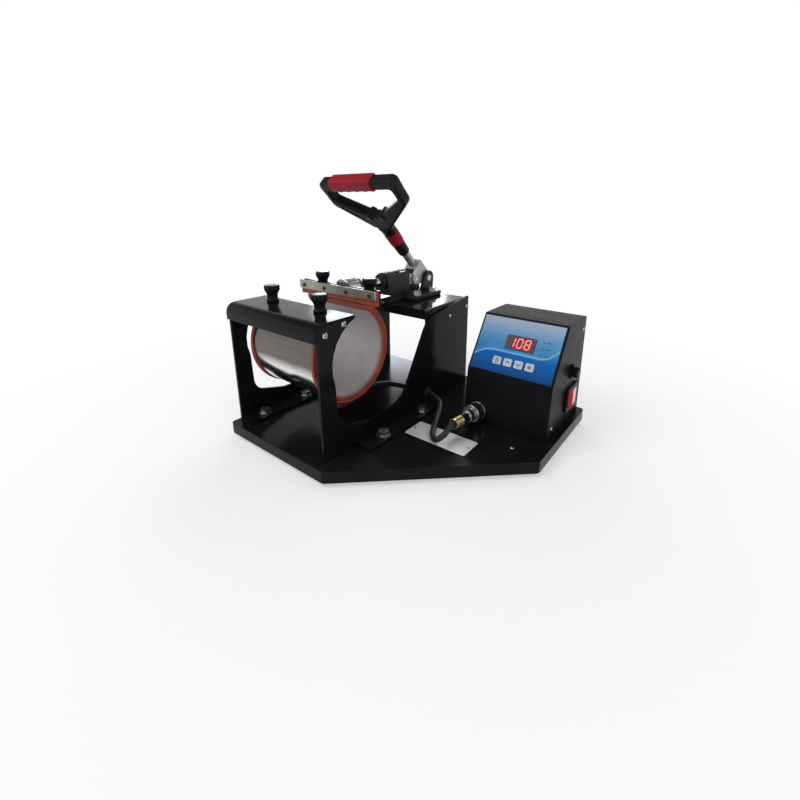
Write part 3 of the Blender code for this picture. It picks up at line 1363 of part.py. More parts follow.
def make_handle(pivot):
    """Make the black frame, its neck, the red grip and the red band, upright over the pivot."""
    loops = [handle_outline(), window_outline()]
    body = flat("handle_body", loops, HANDLE_THICKNESS, black_plastic("handle_body"))
    place(body, (0, 0, 0), FACING_FRONT, pivot)
    bevel(body, HANDLE_EDGE, 2)
    slope = (NECK_TOP_RADIUS - NECK_BOTTOM_RADIUS) / (NECK_TOP - NECK_BOTTOM)
    band_low = NECK_BOTTOM_RADIUS + slope * (BAND_BOTTOM - NECK_BOTTOM)
    band_high = NECK_BOTTOM_RADIUS + slope * (BAND_TOP - NECK_BOTTOM)
    neck_profile = [
        (0, NECK_TOP),
        (NECK_TOP_RADIUS, NECK_TOP),
        (band_high, BAND_TOP),
        (band_high - BAND_DEPTH, BAND_TOP),
        (band_low - BAND_DEPTH, BAND_BOTTOM),
        (band_low, BAND_BOTTOM),
        (NECK_BOTTOM_RADIUS, NECK_BOTTOM + NECK_EDGE),
        (NECK_BOTTOM_RADIUS - NECK_EDGE, NECK_BOTTOM),
        (0, NECK_BOTTOM),
    ]
    neck = turned("handle_neck", neck_profile, steps=20)
    place(neck, (0, 0, 0), (0, 0, 0), pivot)
    bosses = []
    for side in (-1, 1):
        boss = cylinder(f"handle_boss_{side}", BOSS_RADIUS, HANDLE_THICKNESS + 2 * BOSS_PROUD, sides=20)
        place(boss, (side * BOSS_HALF_SPACING, 0, BOSS_HEIGHT), FACING_FRONT, pivot)
        bosses.append(bevel(boss, BOSS_PROUD / 2, 1))
    join(body, neck, *bosses)

    core = rectangle(2 * GRIP_CORE_HALF, 2 * GRIP_CORE_HALF, 0, (0, GRIP_CENTRE))
    around = rectangle(4 * GRIP_CORE_HALF, 4 * GRIP_CORE_HALF, 0, (0, GRIP_CENTRE))
    length = GRIP_RIGHT - GRIP_LEFT
    middle = (GRIP_RIGHT + GRIP_LEFT) / 2
    seat = flat("grip_seat", [around, core], length + 2 * SEAT_GAP)
    place(seat, (middle, 0, 0), FACING_X, pivot)
    bore = cylinder("neck_bore", SHAFT_RADIUS + SEAT_GAP, NECK_BORE_TOP - NECK_BOTTOM + OVERRUN)
    place(bore, (0, 0, (NECK_BORE_TOP + NECK_BOTTOM - OVERRUN) / 2), (0, 0, 0), pivot)
    tilt = math.atan2(HANDLE_SHOULDER - HANDLE_SIDE_BOTTOM, HANDLE_HALF_WIDTH - HANDLE_SHOULDER_HALF)
    outline = rectangle(ARM_RECESS_LENGTH, ARM_RECESS_WIDTH, ARM_RECESS_DEPTH)
    recess = flat("arm_recess", [outline], 2 * ARM_RECESS_DEPTH)
    place(recess, (ARM_RECESS_X, -HANDLE_THICKNESS / 2, ARM_RECESS_Z), (QUARTER, -tilt, 0), pivot)
    cut(body, seat, bore, recess)

    make_grip(pivot)
    top, low = BAND_TOP - SEAT_GAP, BAND_BOTTOM + SEAT_GAP
    ring = [
        (band_high + BAND_PROUD, top),
        (band_low + BAND_PROUD, low),
        (band_low - BAND_DEPTH + SEAT_GAP, low),
        (band_high - BAND_DEPTH + SEAT_GAP, top),
    ]
    band_ring = turned("handle_band", ring, red_rubber("handle_band"), steps=20, ring=True)
    place(band_ring, (0, 0, 0), (0, 0, 0), pivot)


# Control box


def box_corners():
    """Return the box's side view as y, z and bend radius, anticlockwise seen from +X."""
    bottom = BASE_TOP + SEAT_GAP
    return [
        (BOX_FRONT_Y, bottom, 0),
        (BOX_REAR_Y, bottom, 0),
        (BOX_REAR_Y, BOX_TOP, BOX_BEND_RADIUS),
        (BOX_CREST_Y, BOX_TOP, BOX_BEND_RADIUS),
        (BOX_KNEE_Y, BOX_KNEE_Z, BOX_BEND_RADIUS),
    ]


def panel_frame(name):
    """Return an empty on the knee of the box: its Y runs up the sloping panel and its Z points out."""
    slope = math.atan2(BOX_TOP - BOX_KNEE_Z, BOX_CREST_Y - BOX_KNEE_Y)
    return empty(name, (BOX_LEFT_X + BOX_WIDTH / 2, BOX_KNEE_Y, BOX_KNEE_Z), (slope, 0, 0))


def button_places():
    first = BUTTON_OFFSET - BUTTON_PITCH * (BUTTON_COUNT - 1) / 2
    return [(first + BUTTON_PITCH * number, BUTTON_ALONG) for number in range(BUTTON_COUNT)]


def panel_openings(gap):
    """Return the loops of the display's and the buttons' openings, with the stated gap around them."""
    display_centre = (DISPLAY_OFFSET, DISPLAY_ALONG)
    display = rectangle(
        DISPLAY_WIDTH + 2 * gap, DISPLAY_HEIGHT + 2 * gap, DISPLAY_CORNER_RADIUS, display_centre
    )
    buttons = [
        rectangle(BUTTON_WIDTH + 2 * gap, BUTTON_HEIGHT + 2 * gap, BUTTON_CORNER_RADIUS, centre)
        for centre in button_places()
    ]
    return [display] + buttons


def make_box(panel):
    corners = box_corners()
    shell = flat("box_shell", [rounded(corners)], BOX_WIDTH, black_paint("box_shell"))
    centre_x = BOX_LEFT_X + BOX_WIDTH / 2
    place(shell, (centre_x, 0, 0), FACING_X)
    inner = inset(corners, BOX_SHEET)
    low = BASE_TOP - OVERRUN
    inner[0] = (inner[0][0], low, 0)
    inner[1] = (inner[1][0], low, 0)
    hollow = flat("box_hollow", [rounded(inner)], BOX_WIDTH - 2 * BOX_SHEET)
    cut(shell, place(hollow, (centre_x, 0, 0), FACING_X))
    for number, loop in enumerate(panel_openings(SEAT_GAP), 1):
        opening = flat(f"box_opening_{number}", [loop], BOX_SHEET + OVERRUN)
        cut(shell, place(opening, (0, 0, -BOX_SHEET / 2), (0, 0, 0), panel))
    socket_hole = cylinder("box_socket_hole", SOCKET_STEM_RADIUS + SEAT_GAP, 2 * OVERRUN)
    place(socket_hole, (SOCKET_X, socket_face_y(), SOCKET_Z), socket_tilt())
    right_x = BOX_LEFT_X + BOX_WIDTH
    switch_hole = flat("box_switch_hole", [switch_body_outline(SEAT_GAP)], 2 * OVERRUN)
    place(switch_hole, (right_x, 0, 0), FACING_X)
    fuse_hole = cylinder("box_fuse_hole", FUSE_BODY_RADIUS + SEAT_GAP, 2 * OVERRUN)
    place(fuse_hole, (right_x, FUSE_Y, FUSE_Z), FACING_X)
    gland_hole = cylinder("box_gland_hole", GLAND_STEM_RADIUS + SEAT_GAP, 2 * OVERRUN)
    place(gland_hole, (BOX_LEFT_X, GLAND_Y, GLAND_Z), FACING_X)
    cut(shell, socket_hole, switch_hole, fuse_hole, gland_hole)


def make_panel(panel):
    """Make the blue panel on the slope, its display window and its buttons."""
    width = BOX_WIDTH - 2 * PANEL_MARGIN
    outline = rectangle(width, PANEL_LENGTH, PANEL_CORNER_RADIUS, (0, PANEL_START + PANEL_LENGTH / 2))
    loops = [outline] + panel_openings(SEAT_GAP)
    sheet = flat("label_panel", loops, PANEL_THICKNESS, finish("label_panel", (0.05, 0.35, 0.75), 0.35))
    place(sheet, (0, 0, SEAT_GAP + PANEL_THICKNESS / 2), (0, 0, 0), panel)
    face = SEAT_GAP + PANEL_THICKNESS
    depth = face + DISPLAY_PROUD + BOX_SHEET
    centre = (DISPLAY_OFFSET, DISPLAY_ALONG)
    window_loop = rectangle(DISPLAY_WIDTH, DISPLAY_HEIGHT, DISPLAY_CORNER_RADIUS, centre)
    window = flat("display_window", [window_loop], depth, finish("display_window", (0.12, 0.01, 0.01), 0.1))
    place(window, (0, 0, face + DISPLAY_PROUD - depth / 2), (0, 0, 0), panel)
    cap_depth = face + BUTTON_PROUD + BOX_SHEET + SEAT_GAP + BUTTON_FLANGE_THICKNESS
    flange_width, flange_height = BUTTON_WIDTH + 2 * BUTTON_FLANGE, BUTTON_HEIGHT + 2 * BUTTON_FLANGE
    flange_loop = rectangle(flange_width, flange_height, BUTTON_CORNER_RADIUS)
    material = finish("button", (0.85, 0.87, 0.9), 0.4)
    for number, (x, along) in enumerate(button_places(), 1):
        cap_loop = rectangle(BUTTON_WIDTH, BUTTON_HEIGHT, BUTTON_CORNER_RADIUS)
        button = flat(f"button_{number}", [cap_loop], cap_depth, material)
        centre = face + BUTTON_PROUD - cap_depth / 2
        place(button, (x, along, centre), (0, 0, 0), panel)
        flange = flat(f"button_flange_{number}", [flange_loop], BUTTON_FLANGE_THICKNESS)
        flange_z = -BOX_SHEET - SEAT_GAP - BUTTON_FLANGE_THICKNESS / 2
        join(button, place(flange, (x, along, flange_z), (0, 0, 0), panel))


def make_board(panel):
    """Make the control board behind the panel, with its posts, the buttons' switches and a relay block."""
    material = finish("control_board", (0.02, 0.25, 0.1), 0.5)
    board = block("control_board", (BOARD_WIDTH, BOARD_LENGTH, BOARD_THICKNESS), material)
    board_z = -BOARD_DEPTH - BOARD_THICKNESS / 2
    place(board, (0, BOARD_ALONG, board_z), (0, 0, 0), panel)
    post_length = BOARD_DEPTH - BOX_SHEET - SEAT_GAP + BOARD_THICKNESS / 2
    for across in (-1, 1):
        for along in (-1, 1):
            post = cylinder(f"board_post_{across}_{along}", BOARD_POST_RADIUS, post_length, sides=POST_SIDES)
            x = across * (BOARD_WIDTH / 2 - BOARD_POST_INSET)
            y = BOARD_ALONG + along * (BOARD_LENGTH / 2 - BOARD_POST_INSET)
            join(board, place(post, (x, y, board_z + post_length / 2), (0, 0, 0), panel))
    flange_back = BOX_SHEET + SEAT_GAP + BUTTON_FLANGE_THICKNESS
    switch_length = BOARD_DEPTH - flange_back - BUTTON_TRAVEL - SEAT_GAP + BOARD_THICKNESS / 2
    for number, (x, along) in enumerate(button_places(), 1):
        key = block(f"board_switch_{number}", (BOARD_SWITCH_SIZE, BOARD_SWITCH_SIZE, switch_length))
        join(board, place(key, (x, along, board_z + switch_length / 2), (0, 0, 0), panel))
    chip_height = BOARD_CHIP_HEIGHT + BOARD_THICKNESS / 2
    chip = block("board_relay", (BOARD_CHIP_WIDTH, BOARD_CHIP_LENGTH, chip_height))
    chip_z = board_z - (BOARD_CHIP_HEIGHT + BOARD_THICKNESS / 2) / 2
    join(board, place(chip, (0, BOARD_ALONG, chip_z), (0, 0, 0), panel))


def switch_body_outline(gap):
    return rectangle(
        SWITCH_LENGTH - 2 * SWITCH_RIM + 2 * gap,
        SWITCH_HEIGHT - 2 * SWITCH_RIM + 2 * gap,
        SWITCH_CORNER_RADIUS / 2,
        (SWITCH_Y, SWITCH_Z),
    )


def make_switch():
    """Make the switch's frame with its well, and the rocker that tilts in it."""
    right_x = BOX_LEFT_X + BOX_WIDTH
    frame_loop = rectangle(SWITCH_LENGTH, SWITCH_HEIGHT, SWITCH_CORNER_RADIUS, (SWITCH_Y, SWITCH_Z))
    frame = flat("switch_frame", [frame_loop], SWITCH_RIM, black_plastic("switch_frame"))
    place(frame, (right_x + SEAT_GAP + SWITCH_RIM / 2, 0, 0), FACING_X)
    body = flat("switch_body", [switch_body_outline(0)], SWITCH_BODY_DEPTH)
    place(body, (right_x + SEAT_GAP + SWITCH_RIM / 2 - SWITCH_BODY_DEPTH / 2, 0, 0), FACING_X)
    join(frame, body)
    well_loop = rectangle(
        SWITCH_WELL_LENGTH, ROCKER_HEIGHT + 2 * RUNNING_GAP, 0, (SWITCH_Y, SWITCH_Z)
    )
    well_depth = 2 * ROCKER_DEPTH
    well = flat("switch_well", [well_loop], well_depth)
    cut(frame, place(well, (rocker_axis_x(), 0, 0), FACING_X))
    pivot = empty("rocker_pivot", (rocker_axis_x(), SWITCH_Y, SWITCH_Z), (QUARTER, 0, QUARTER))
    half = ROCKER_LENGTH / 2
    low = -ROCKER_DEPTH / 2
    rise = rocker_rise()
    profile = [
        (-half * math.cos(ROCKER_TILT), rise + half * math.sin(ROCKER_TILT)),
        (0, rise - ROCKER_RISE / 4),
        (half * math.cos(ROCKER_TILT), rise - half * math.sin(ROCKER_TILT)),
        (half / 2, low),
        (-half / 2, low),
    ]
    rocker = flat("rocker", [profile], ROCKER_HEIGHT, finish("rocker", (0.75, 0.03, 0.03), 0.3))
    place(rocker, (0, 0, 0), (QUARTER, 0, 0), pivot)
    return pivot


def rocker_axis_x():
    return BOX_LEFT_X + BOX_WIDTH + SEAT_GAP


def rocker_rise():
    return SWITCH_RIM + ROCKER_RISE / 2


def make_fuse():
    right_x = BOX_LEFT_X + BOX_WIDTH + SEAT_GAP
    flange_top = FUSE_FLANGE_THICKNESS
    bore = FUSE_BODY_RADIUS / 2
    profile = [
        (bore, flange_top),
        (FUSE_FLANGE_RADIUS, flange_top),
        (FUSE_FLANGE_RADIUS, 0),
        (FUSE_BODY_RADIUS, 0),
        (FUSE_BODY_RADIUS, -FUSE_BODY_DEPTH),
        (bore, -FUSE_BODY_DEPTH),
    ]
    holder = turned("fuse_holder", profile, black_plastic("fuse_holder"), ring=True)
    place(holder, (right_x, FUSE_Y, FUSE_Z), FACING_X)
    seat = flange_top + SEAT_GAP
    top = seat + FUSE_CAP_HEIGHT
    stem = bore - RUNNING_GAP
    cap_profile = [
        (0, top),
        (FUSE_CAP_RADIUS - FUSE_SLOT_WIDTH / 2, top),
        (FUSE_CAP_RADIUS, top - FUSE_SLOT_WIDTH / 2),
        (FUSE_CAP_RADIUS, seat),
        (stem, seat),
        (stem, -FUSE_BODY_DEPTH / 2),
        (0, -FUSE_BODY_DEPTH / 2),
    ]
    cap = turned("fuse_cap", cap_profile, black_plastic("fuse_cap"))
    place(cap, (right_x, FUSE_Y, FUSE_Z), FACING_X)
    slot = block("fuse_slot", (FUSE_SLOT_WIDTH, 2 * FUSE_CAP_RADIUS + OVERRUN, 2 * FUSE_SLOT_DEPTH))
    cut(cap, place(slot, (right_x + top, FUSE_Y, FUSE_Z), FACING_X))


def make_gland():
    """Make the cable gland on the hidden left side of the box, with its bore open."""
    top = GLAND_LENGTH
    profile = [
        (GLAND_BORE_RADIUS, top),
        (GLAND_TIP_RADIUS, top),
        (GLAND_RADIUS, GLAND_NUT_LENGTH),
        (GLAND_RADIUS, 0),
        (GLAND_STEM_RADIUS, 0),
        (GLAND_STEM_RADIUS, -GLAND_STEM_DEPTH),
        (GLAND_BORE_RADIUS, -GLAND_STEM_DEPTH),
    ]
    gland = turned("cable_gland", profile, black_plastic("cable_gland"), ring=True)
    place(gland, (BOX_LEFT_X - SEAT_GAP, GLAND_Y, GLAND_Z), FACING_LEFT)


# Heater lead


def front_slope():
    """Return how far the lower front of the box leans back."""
    return math.atan2(BOX_KNEE_Y - BOX_FRONT_Y, BOX_KNEE_Z - BASE_TOP)


def socket_tilt():
    return (QUARTER - front_slope(), 0, 0)


def socket_face_y():
    return BOX_FRONT_Y + (SOCKET_Z - BASE_TOP) * math.tan(front_slope())


def along_plug(distance):
    """Return the point on the plug's axis at the stated distance out from the box."""
    lean = front_slope()
    reach = distance + SEAT_GAP
    return (
        SOCKET_X,
        socket_face_y() - reach * math.cos(lean),
        SOCKET_Z + reach * math.sin(lean),
    )


def make_socket_and_plug():
    flange, thread = SOCKET_FLANGE_THICKNESS, SOCKET_THREAD_LENGTH
    profile = [
        (0, thread),
        (SOCKET_THREAD_RADIUS, thread),
        (SOCKET_THREAD_RADIUS, flange),
        (SOCKET_FLANGE_RADIUS, flange),
        (SOCKET_FLANGE_RADIUS, 0),
        (SOCKET_STEM_RADIUS, 0),
        (SOCKET_STEM_RADIUS, -SOCKET_STEM_DEPTH),
        (0, -SOCKET_STEM_DEPTH),
    ]
    socket = turned("heater_socket", profile, steel("heater_socket"))
    place(socket, along_plug(0), socket_tilt())
    start = flange + SEAT_GAP
    end = start + PLUG_RING_LENGTH
    inner = PLUG_BODY_RADIUS + RUNNING_GAP
    hollow = SOCKET_THREAD_RADIUS + RUNNING_GAP
    ring = [
        (inner, end),
        (PLUG_RING_RADIUS - RUNNING_GAP, end),
        (PLUG_RING_RADIUS, end - RUNNING_GAP),
        (PLUG_RING_RADIUS, start),
        (hollow, start),
        (hollow, thread + RUNNING_GAP),
        (inner, thread + RUNNING_GAP),
    ]
    nut = turned("plug_ring", ring, steel("plug_ring"), ring=True)
    place(nut, along_plug(0), socket_tilt())
    body_start = thread + SEAT_GAP
    body_end = body_start + PLUG_BODY_LENGTH
    tail_end = body_end + PLUG_TAIL_LENGTH
    bore = CABLE_RADIUS + SEAT_GAP
    body_profile = [
        (0, body_end),
        (bore, body_end),
        (bore, tail_end),
        (PLUG_TAIL_RADIUS, tail_end),
        (PLUG_TAIL_RADIUS, body_end + RUNNING_GAP),
        (PLUG_BODY_RADIUS, body_end),
        (PLUG_BODY_RADIUS, body_start),
        (0, body_start),
    ]
    body = turned("plug_body", body_profile, finish("plug_body", (0.6, 0.6, 0.58), 0.35, 1.0))
    place(body, along_plug(0), socket_tilt())


def plug_end():
    return SOCKET_THREAD_LENGTH + SEAT_GAP + PLUG_BODY_LENGTH + PLUG_TAIL_LENGTH


def cable_route():
    """Return the lead's own points, from the plug over the base and through the right plate to the heater."""
    lying = BASE_TOP + CABLE_RADIUS + SEAT_GAP
    inside_x = RIGHT_FACE_X - PLATE_SHEET
    end_x, end_y, end_z = terminal_entry()
    turning = zip(LEAD_TURN_X, LEAD_TURN_Y, LEAD_TURN_RISE)
    lying_down = zip(LEAD_PLATE_REACH, LEAD_PLATE_Y, LEAD_PLATE_RISE)
    return [
        along_plug(plug_end() - PLUG_TAIL_LENGTH + SEAT_GAP),
        along_plug(plug_end()),
        along_plug(plug_end() + SPRING_LENGTH / 2),
        along_plug(plug_end() + SPRING_LENGTH),
        along_plug(plug_end() + SPRING_LENGTH + CABLE_RADIUS),
        *[(x, y, lying + rise) for x, y, rise in turning],
        *[(RIGHT_FACE_X + reach, y, lying + rise) for reach, y, rise in lying_down],
        (RIGHT_FACE_X + CABLE_RADIUS, CABLE_HOLE_Y, CABLE_HOLE_Z),
        (RIGHT_FACE_X, CABLE_HOLE_Y, CABLE_HOLE_Z),
        (inside_x, CABLE_HOLE_Y, CABLE_HOLE_Z),
        (inside_x - CABLE_RADIUS, CABLE_HOLE_Y, CABLE_HOLE_Z),
        *zip(LEAD_INSIDE_X, LEAD_INSIDE_Y, LEAD_INSIDE_Z),
        (end_x, end_y + LEAD_ENTRY_LENGTH, end_z),
        (end_x, end_y, end_z),
    ]


def smooth_route(points, count):
    """Return evenly spread points on a smooth curve through the stated ones."""
    dense = []
    padded = [points[0]] + points + [points[-1]]
    for index in range(len(points) - 1):
        before, start, end, after = padded[index : index + 4]
        for step in range(CABLE_POINTS):
            share = step / CABLE_POINTS
            dense.append(tuple(spline_value(*values, share) for values in zip(before, start, end, after)))
    dense.append(points[-1])
    lengths = [0.0]
    for first, second in zip(dense, dense[1:]):
        lengths.append(lengths[-1] + math.dist(first, second))
    route = []
    index = 0
    for step in range(count):
        target = lengths[-1] * step / (count - 1)
        while index < len(lengths) - 2 and lengths[index + 1] < target:
            index += 1
        span = lengths[index + 1] - lengths[index]
        share = (target - lengths[index]) / span if span else 0
        route.append(tuple(a + (b - a) * share for a, b in zip(dense[index], dense[index + 1])))
    return route


def spline_value(before, start, end, after, share):
    """Return one coordinate of a Catmull-Rom curve between start and end."""
    leave, arrive = (end - before) / 2, (after - start) / 2
    square, cube = share**2, share**3
    return (
        (2 * cube - 3 * square + 1) * start
        + (cube - 2 * square + share) * leave
        + (3 * square - 2 * cube) * end
        + (cube - square) * arrive
    )


def make_cable():
    points = smooth_route(cable_route(), CABLE_POINTS)
    mesh = wire_mesh("heater_cable", points, CABLE_RADIUS, CABLE_SIDES_RESOLUTION)
    add_object("heater_cable", mesh, finish("heater_cable", (0.02, 0.02, 0.02), 0.6))


def make_spring():
    """Wind the open spring that keeps the lead from kinking at the plug; both ends run straight along it."""
    count = SPRING_CURLS * SPRING_CURL_POINTS
    foot = plug_end() + SEAT_GAP
    straight = 2 * SPRING_WIRE_RADIUS
    start, end = foot + straight, foot + SPRING_LENGTH - straight
    points = [(SPRING_RADIUS, 0, foot)]
    for step in range(count + 1):
        turn = FULL_TURN * step / SPRING_CURL_POINTS
        height = start + (end - start) * step / count
        points.append((SPRING_RADIUS * math.cos(turn), SPRING_RADIUS * math.sin(turn), height))
    points.append((SPRING_RADIUS, 0, end + straight))
    mesh = wire_mesh("lead_spring", points, SPRING_WIRE_RADIUS, 1)
    spring = add_object("lead_spring", mesh, finish("lead_spring", (0.75, 0.62, 0.35), 0.3, 1.0))
    place(spring, along_plug(0), socket_tilt())
    print("lead_spring least gap to itself:", least_gap(points) - 2 * SPRING_WIRE_RADIUS)


def least_gap(points):
    """Return the least distance between points that lie half a curl or more apart along the wire."""
    apart = SPRING_CURL_POINTS // 2
    gaps = []
    for index, point in enumerate(points):
        gaps += [math.dist(point, other) for other in points[index + apart :]]
    return min(gaps)


def main():
    clear_scene()
    make_base()
    make_feet()
    make_side_plates()
    make_plate_bolts()
    make_front_cover()
    make_wrap()
    make_terminal_cover()
    make_strips()
    make_rear_holder()
    make_knobs()
    make_yoke()
    make_plunger()
    make_lock_nut()
    make_rear_top_plate()
    make_clamp_casting()
    make_casting_bolts()
    make_link()
    handle_pivot = empty("handle_pivot", (PRESS_X, PIVOT_Y, PIVOT_Z), (HANDLE_LEAN, 0, 0))
    make_lever(handle_pivot)
    make_pivot_pin()
    make_handle(handle_pivot)
    panel = panel_frame("panel_frame")
    make_box(panel)
    make_panel(panel)
    make_board(panel)
    make_switch()
    make_fuse()
    make_gland()
    make_socket_and_plug()
    make_cable()
    make_spring()


main()
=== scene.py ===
"""Looks of a mug heat press: its finishes, fine soft and turned pieces, small hardware and the room."""

import json
import logging
import math
from dataclasses import dataclass, field
from enum import Enum
from typing import Callable, Iterable, Optional, Sequence

import bmesh
import bpy
from mathutils import Matrix, Vector

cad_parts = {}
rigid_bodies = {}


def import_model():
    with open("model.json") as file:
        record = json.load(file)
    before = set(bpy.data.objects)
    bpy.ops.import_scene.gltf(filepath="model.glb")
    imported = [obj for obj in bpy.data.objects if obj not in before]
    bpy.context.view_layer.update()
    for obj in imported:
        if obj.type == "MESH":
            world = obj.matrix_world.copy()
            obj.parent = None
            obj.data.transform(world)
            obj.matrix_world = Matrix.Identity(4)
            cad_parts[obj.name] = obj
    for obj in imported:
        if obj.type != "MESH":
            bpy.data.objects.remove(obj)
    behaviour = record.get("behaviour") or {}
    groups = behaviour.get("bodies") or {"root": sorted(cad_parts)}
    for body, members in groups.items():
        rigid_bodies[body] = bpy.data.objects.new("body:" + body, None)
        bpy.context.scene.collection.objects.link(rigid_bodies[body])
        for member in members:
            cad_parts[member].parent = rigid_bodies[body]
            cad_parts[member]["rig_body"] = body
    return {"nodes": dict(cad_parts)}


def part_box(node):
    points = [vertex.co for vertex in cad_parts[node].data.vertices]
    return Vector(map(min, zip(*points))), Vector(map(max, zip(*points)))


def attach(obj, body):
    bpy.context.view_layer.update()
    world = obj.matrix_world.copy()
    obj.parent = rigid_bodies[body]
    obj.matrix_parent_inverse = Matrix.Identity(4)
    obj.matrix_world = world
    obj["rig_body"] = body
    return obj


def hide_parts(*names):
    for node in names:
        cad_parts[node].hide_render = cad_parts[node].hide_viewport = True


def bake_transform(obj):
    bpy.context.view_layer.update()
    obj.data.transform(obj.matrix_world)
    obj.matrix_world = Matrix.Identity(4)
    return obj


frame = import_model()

LOG = logging.getLogger("mug_heat_press")
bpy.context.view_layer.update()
MM = 0.001
Rgb = tuple[float, float, float]
Point = tuple[float, float, float]
Flat = tuple[float, float]
Corner = tuple[float, float, float]


# Node graphs


class Graph:
    """A node tree while it is put together.

    Attributes:
        tree: the tree that receives the nodes.
    """

    def __init__(self, tree: bpy.types.NodeTree) -> None:
        """Args: tree: an empty or cleared node tree."""
        self.tree = tree

    def node(self, kind: str, settings: Optional[dict] = None,
             sockets: Optional[dict] = None) -> bpy.types.Node:
        """Add one node.

        Args:
            kind: the node's type name.
            settings: its own properties, set first; "stops" holds a ramp's places and colours.
            sockets: values, numbers or links for its inputs, by name or index.

        Returns:
            The new node.
        """
        made = self.tree.nodes.new(kind)
        for key, value in (settings or {}).items():
            if key == "stops":
                self._set_stops(made, value)
            else:
                setattr(made, key, value)
        for key, value in (sockets or {}).items():
            self.feed(made.inputs[key], value)
        return made

    def feed(self, target: bpy.types.NodeSocket, value: object) -> None:
        """Link or set one input.

        Args:
            target: the input socket.
            value: a Num, a socket or a plain value.
        """
        if isinstance(value, Num):
            self.tree.links.new(value.socket, target)
        elif isinstance(value, bpy.types.NodeSocket):
            self.tree.links.new(value, target)
        else:
            target.default_value = value

    @staticmethod
    def _set_stops(ramp: bpy.types.Node, stops: Sequence[tuple[float, Rgb]]) -> None:
        """Give a colour ramp its stops.

        Args:
            ramp: the ramp node.
            stops: place and colour of each stop.
        """
        elements = ramp.color_ramp.elements
        while len(elements) < len(stops):
            elements.new(0.5)
        for element, (place, color) in zip(elements, stops):
            element.position = place
            element.color = (*color, 1.0)


@dataclass(frozen=True)
class Num:
    """A number that varies over a surface; arithmetic on it adds Math nodes.

    Attributes:
        graph: the graph that holds it.
        socket: the output that gives it.
    """

    graph: Graph
    socket: bpy.types.NodeSocket

    def _math(self, operation: str, *values: object) -> "Num":
        """Add one Math node and return its result."""
        node = self.graph.node("ShaderNodeMath", {"operation": operation}, dict(enumerate(values)))
        return Num(self.graph, node.outputs[0])

    def __add__(self, other: object) -> "Num":
        """Return self + other."""
        return self._math("ADD", self, other)

    def __sub__(self, other: object) -> "Num":
        """Return self - other."""
        return self._math("SUBTRACT", self, other)

    def __rsub__(self, other: object) -> "Num":
        """Return other - self."""
        return self._math("SUBTRACT", other, self)

    def __mul__(self, other: object) -> "Num":
        """Return self * other."""
        return self._math("MULTIPLY", self, other)

    def __truediv__(self, other: object) -> "Num":
        """Return self / other."""
        return self._math("DIVIDE", self, other)

    def __pow__(self, other: object) -> "Num":
        """Return self ** other."""
        return self._math("POWER", self, other)

    def size(self) -> "Num":
        """Return the number without its sign."""
        return self._math("ABSOLUTE", self)

    def root(self) -> "Num":
        """Return the square root."""
        return self._math("SQRT", self)

    def sine(self) -> "Num":
        """Return the sine."""
        return self._math("SINE", self)

    def least(self, other: object) -> "Num":
        """Return the smaller of the two."""
        return self._math("MINIMUM", self, other)

    def ramp(self, start: float, end: float) -> "Num":
        """Return 0 at start, 1 at end, and a straight climb between, held beyond both.

        Args:
            start: the number that gives 0.
            end: the number that gives 1.

        Returns:
            The share of the way.
        """
        node = self.graph.node(
            "ShaderNodeMapRange", {"clamp": True}, {0: self, 1: start, 2: end, 3: 0.0, 4: 1.0}
        )
        return Num(self.graph, node.outputs[0])


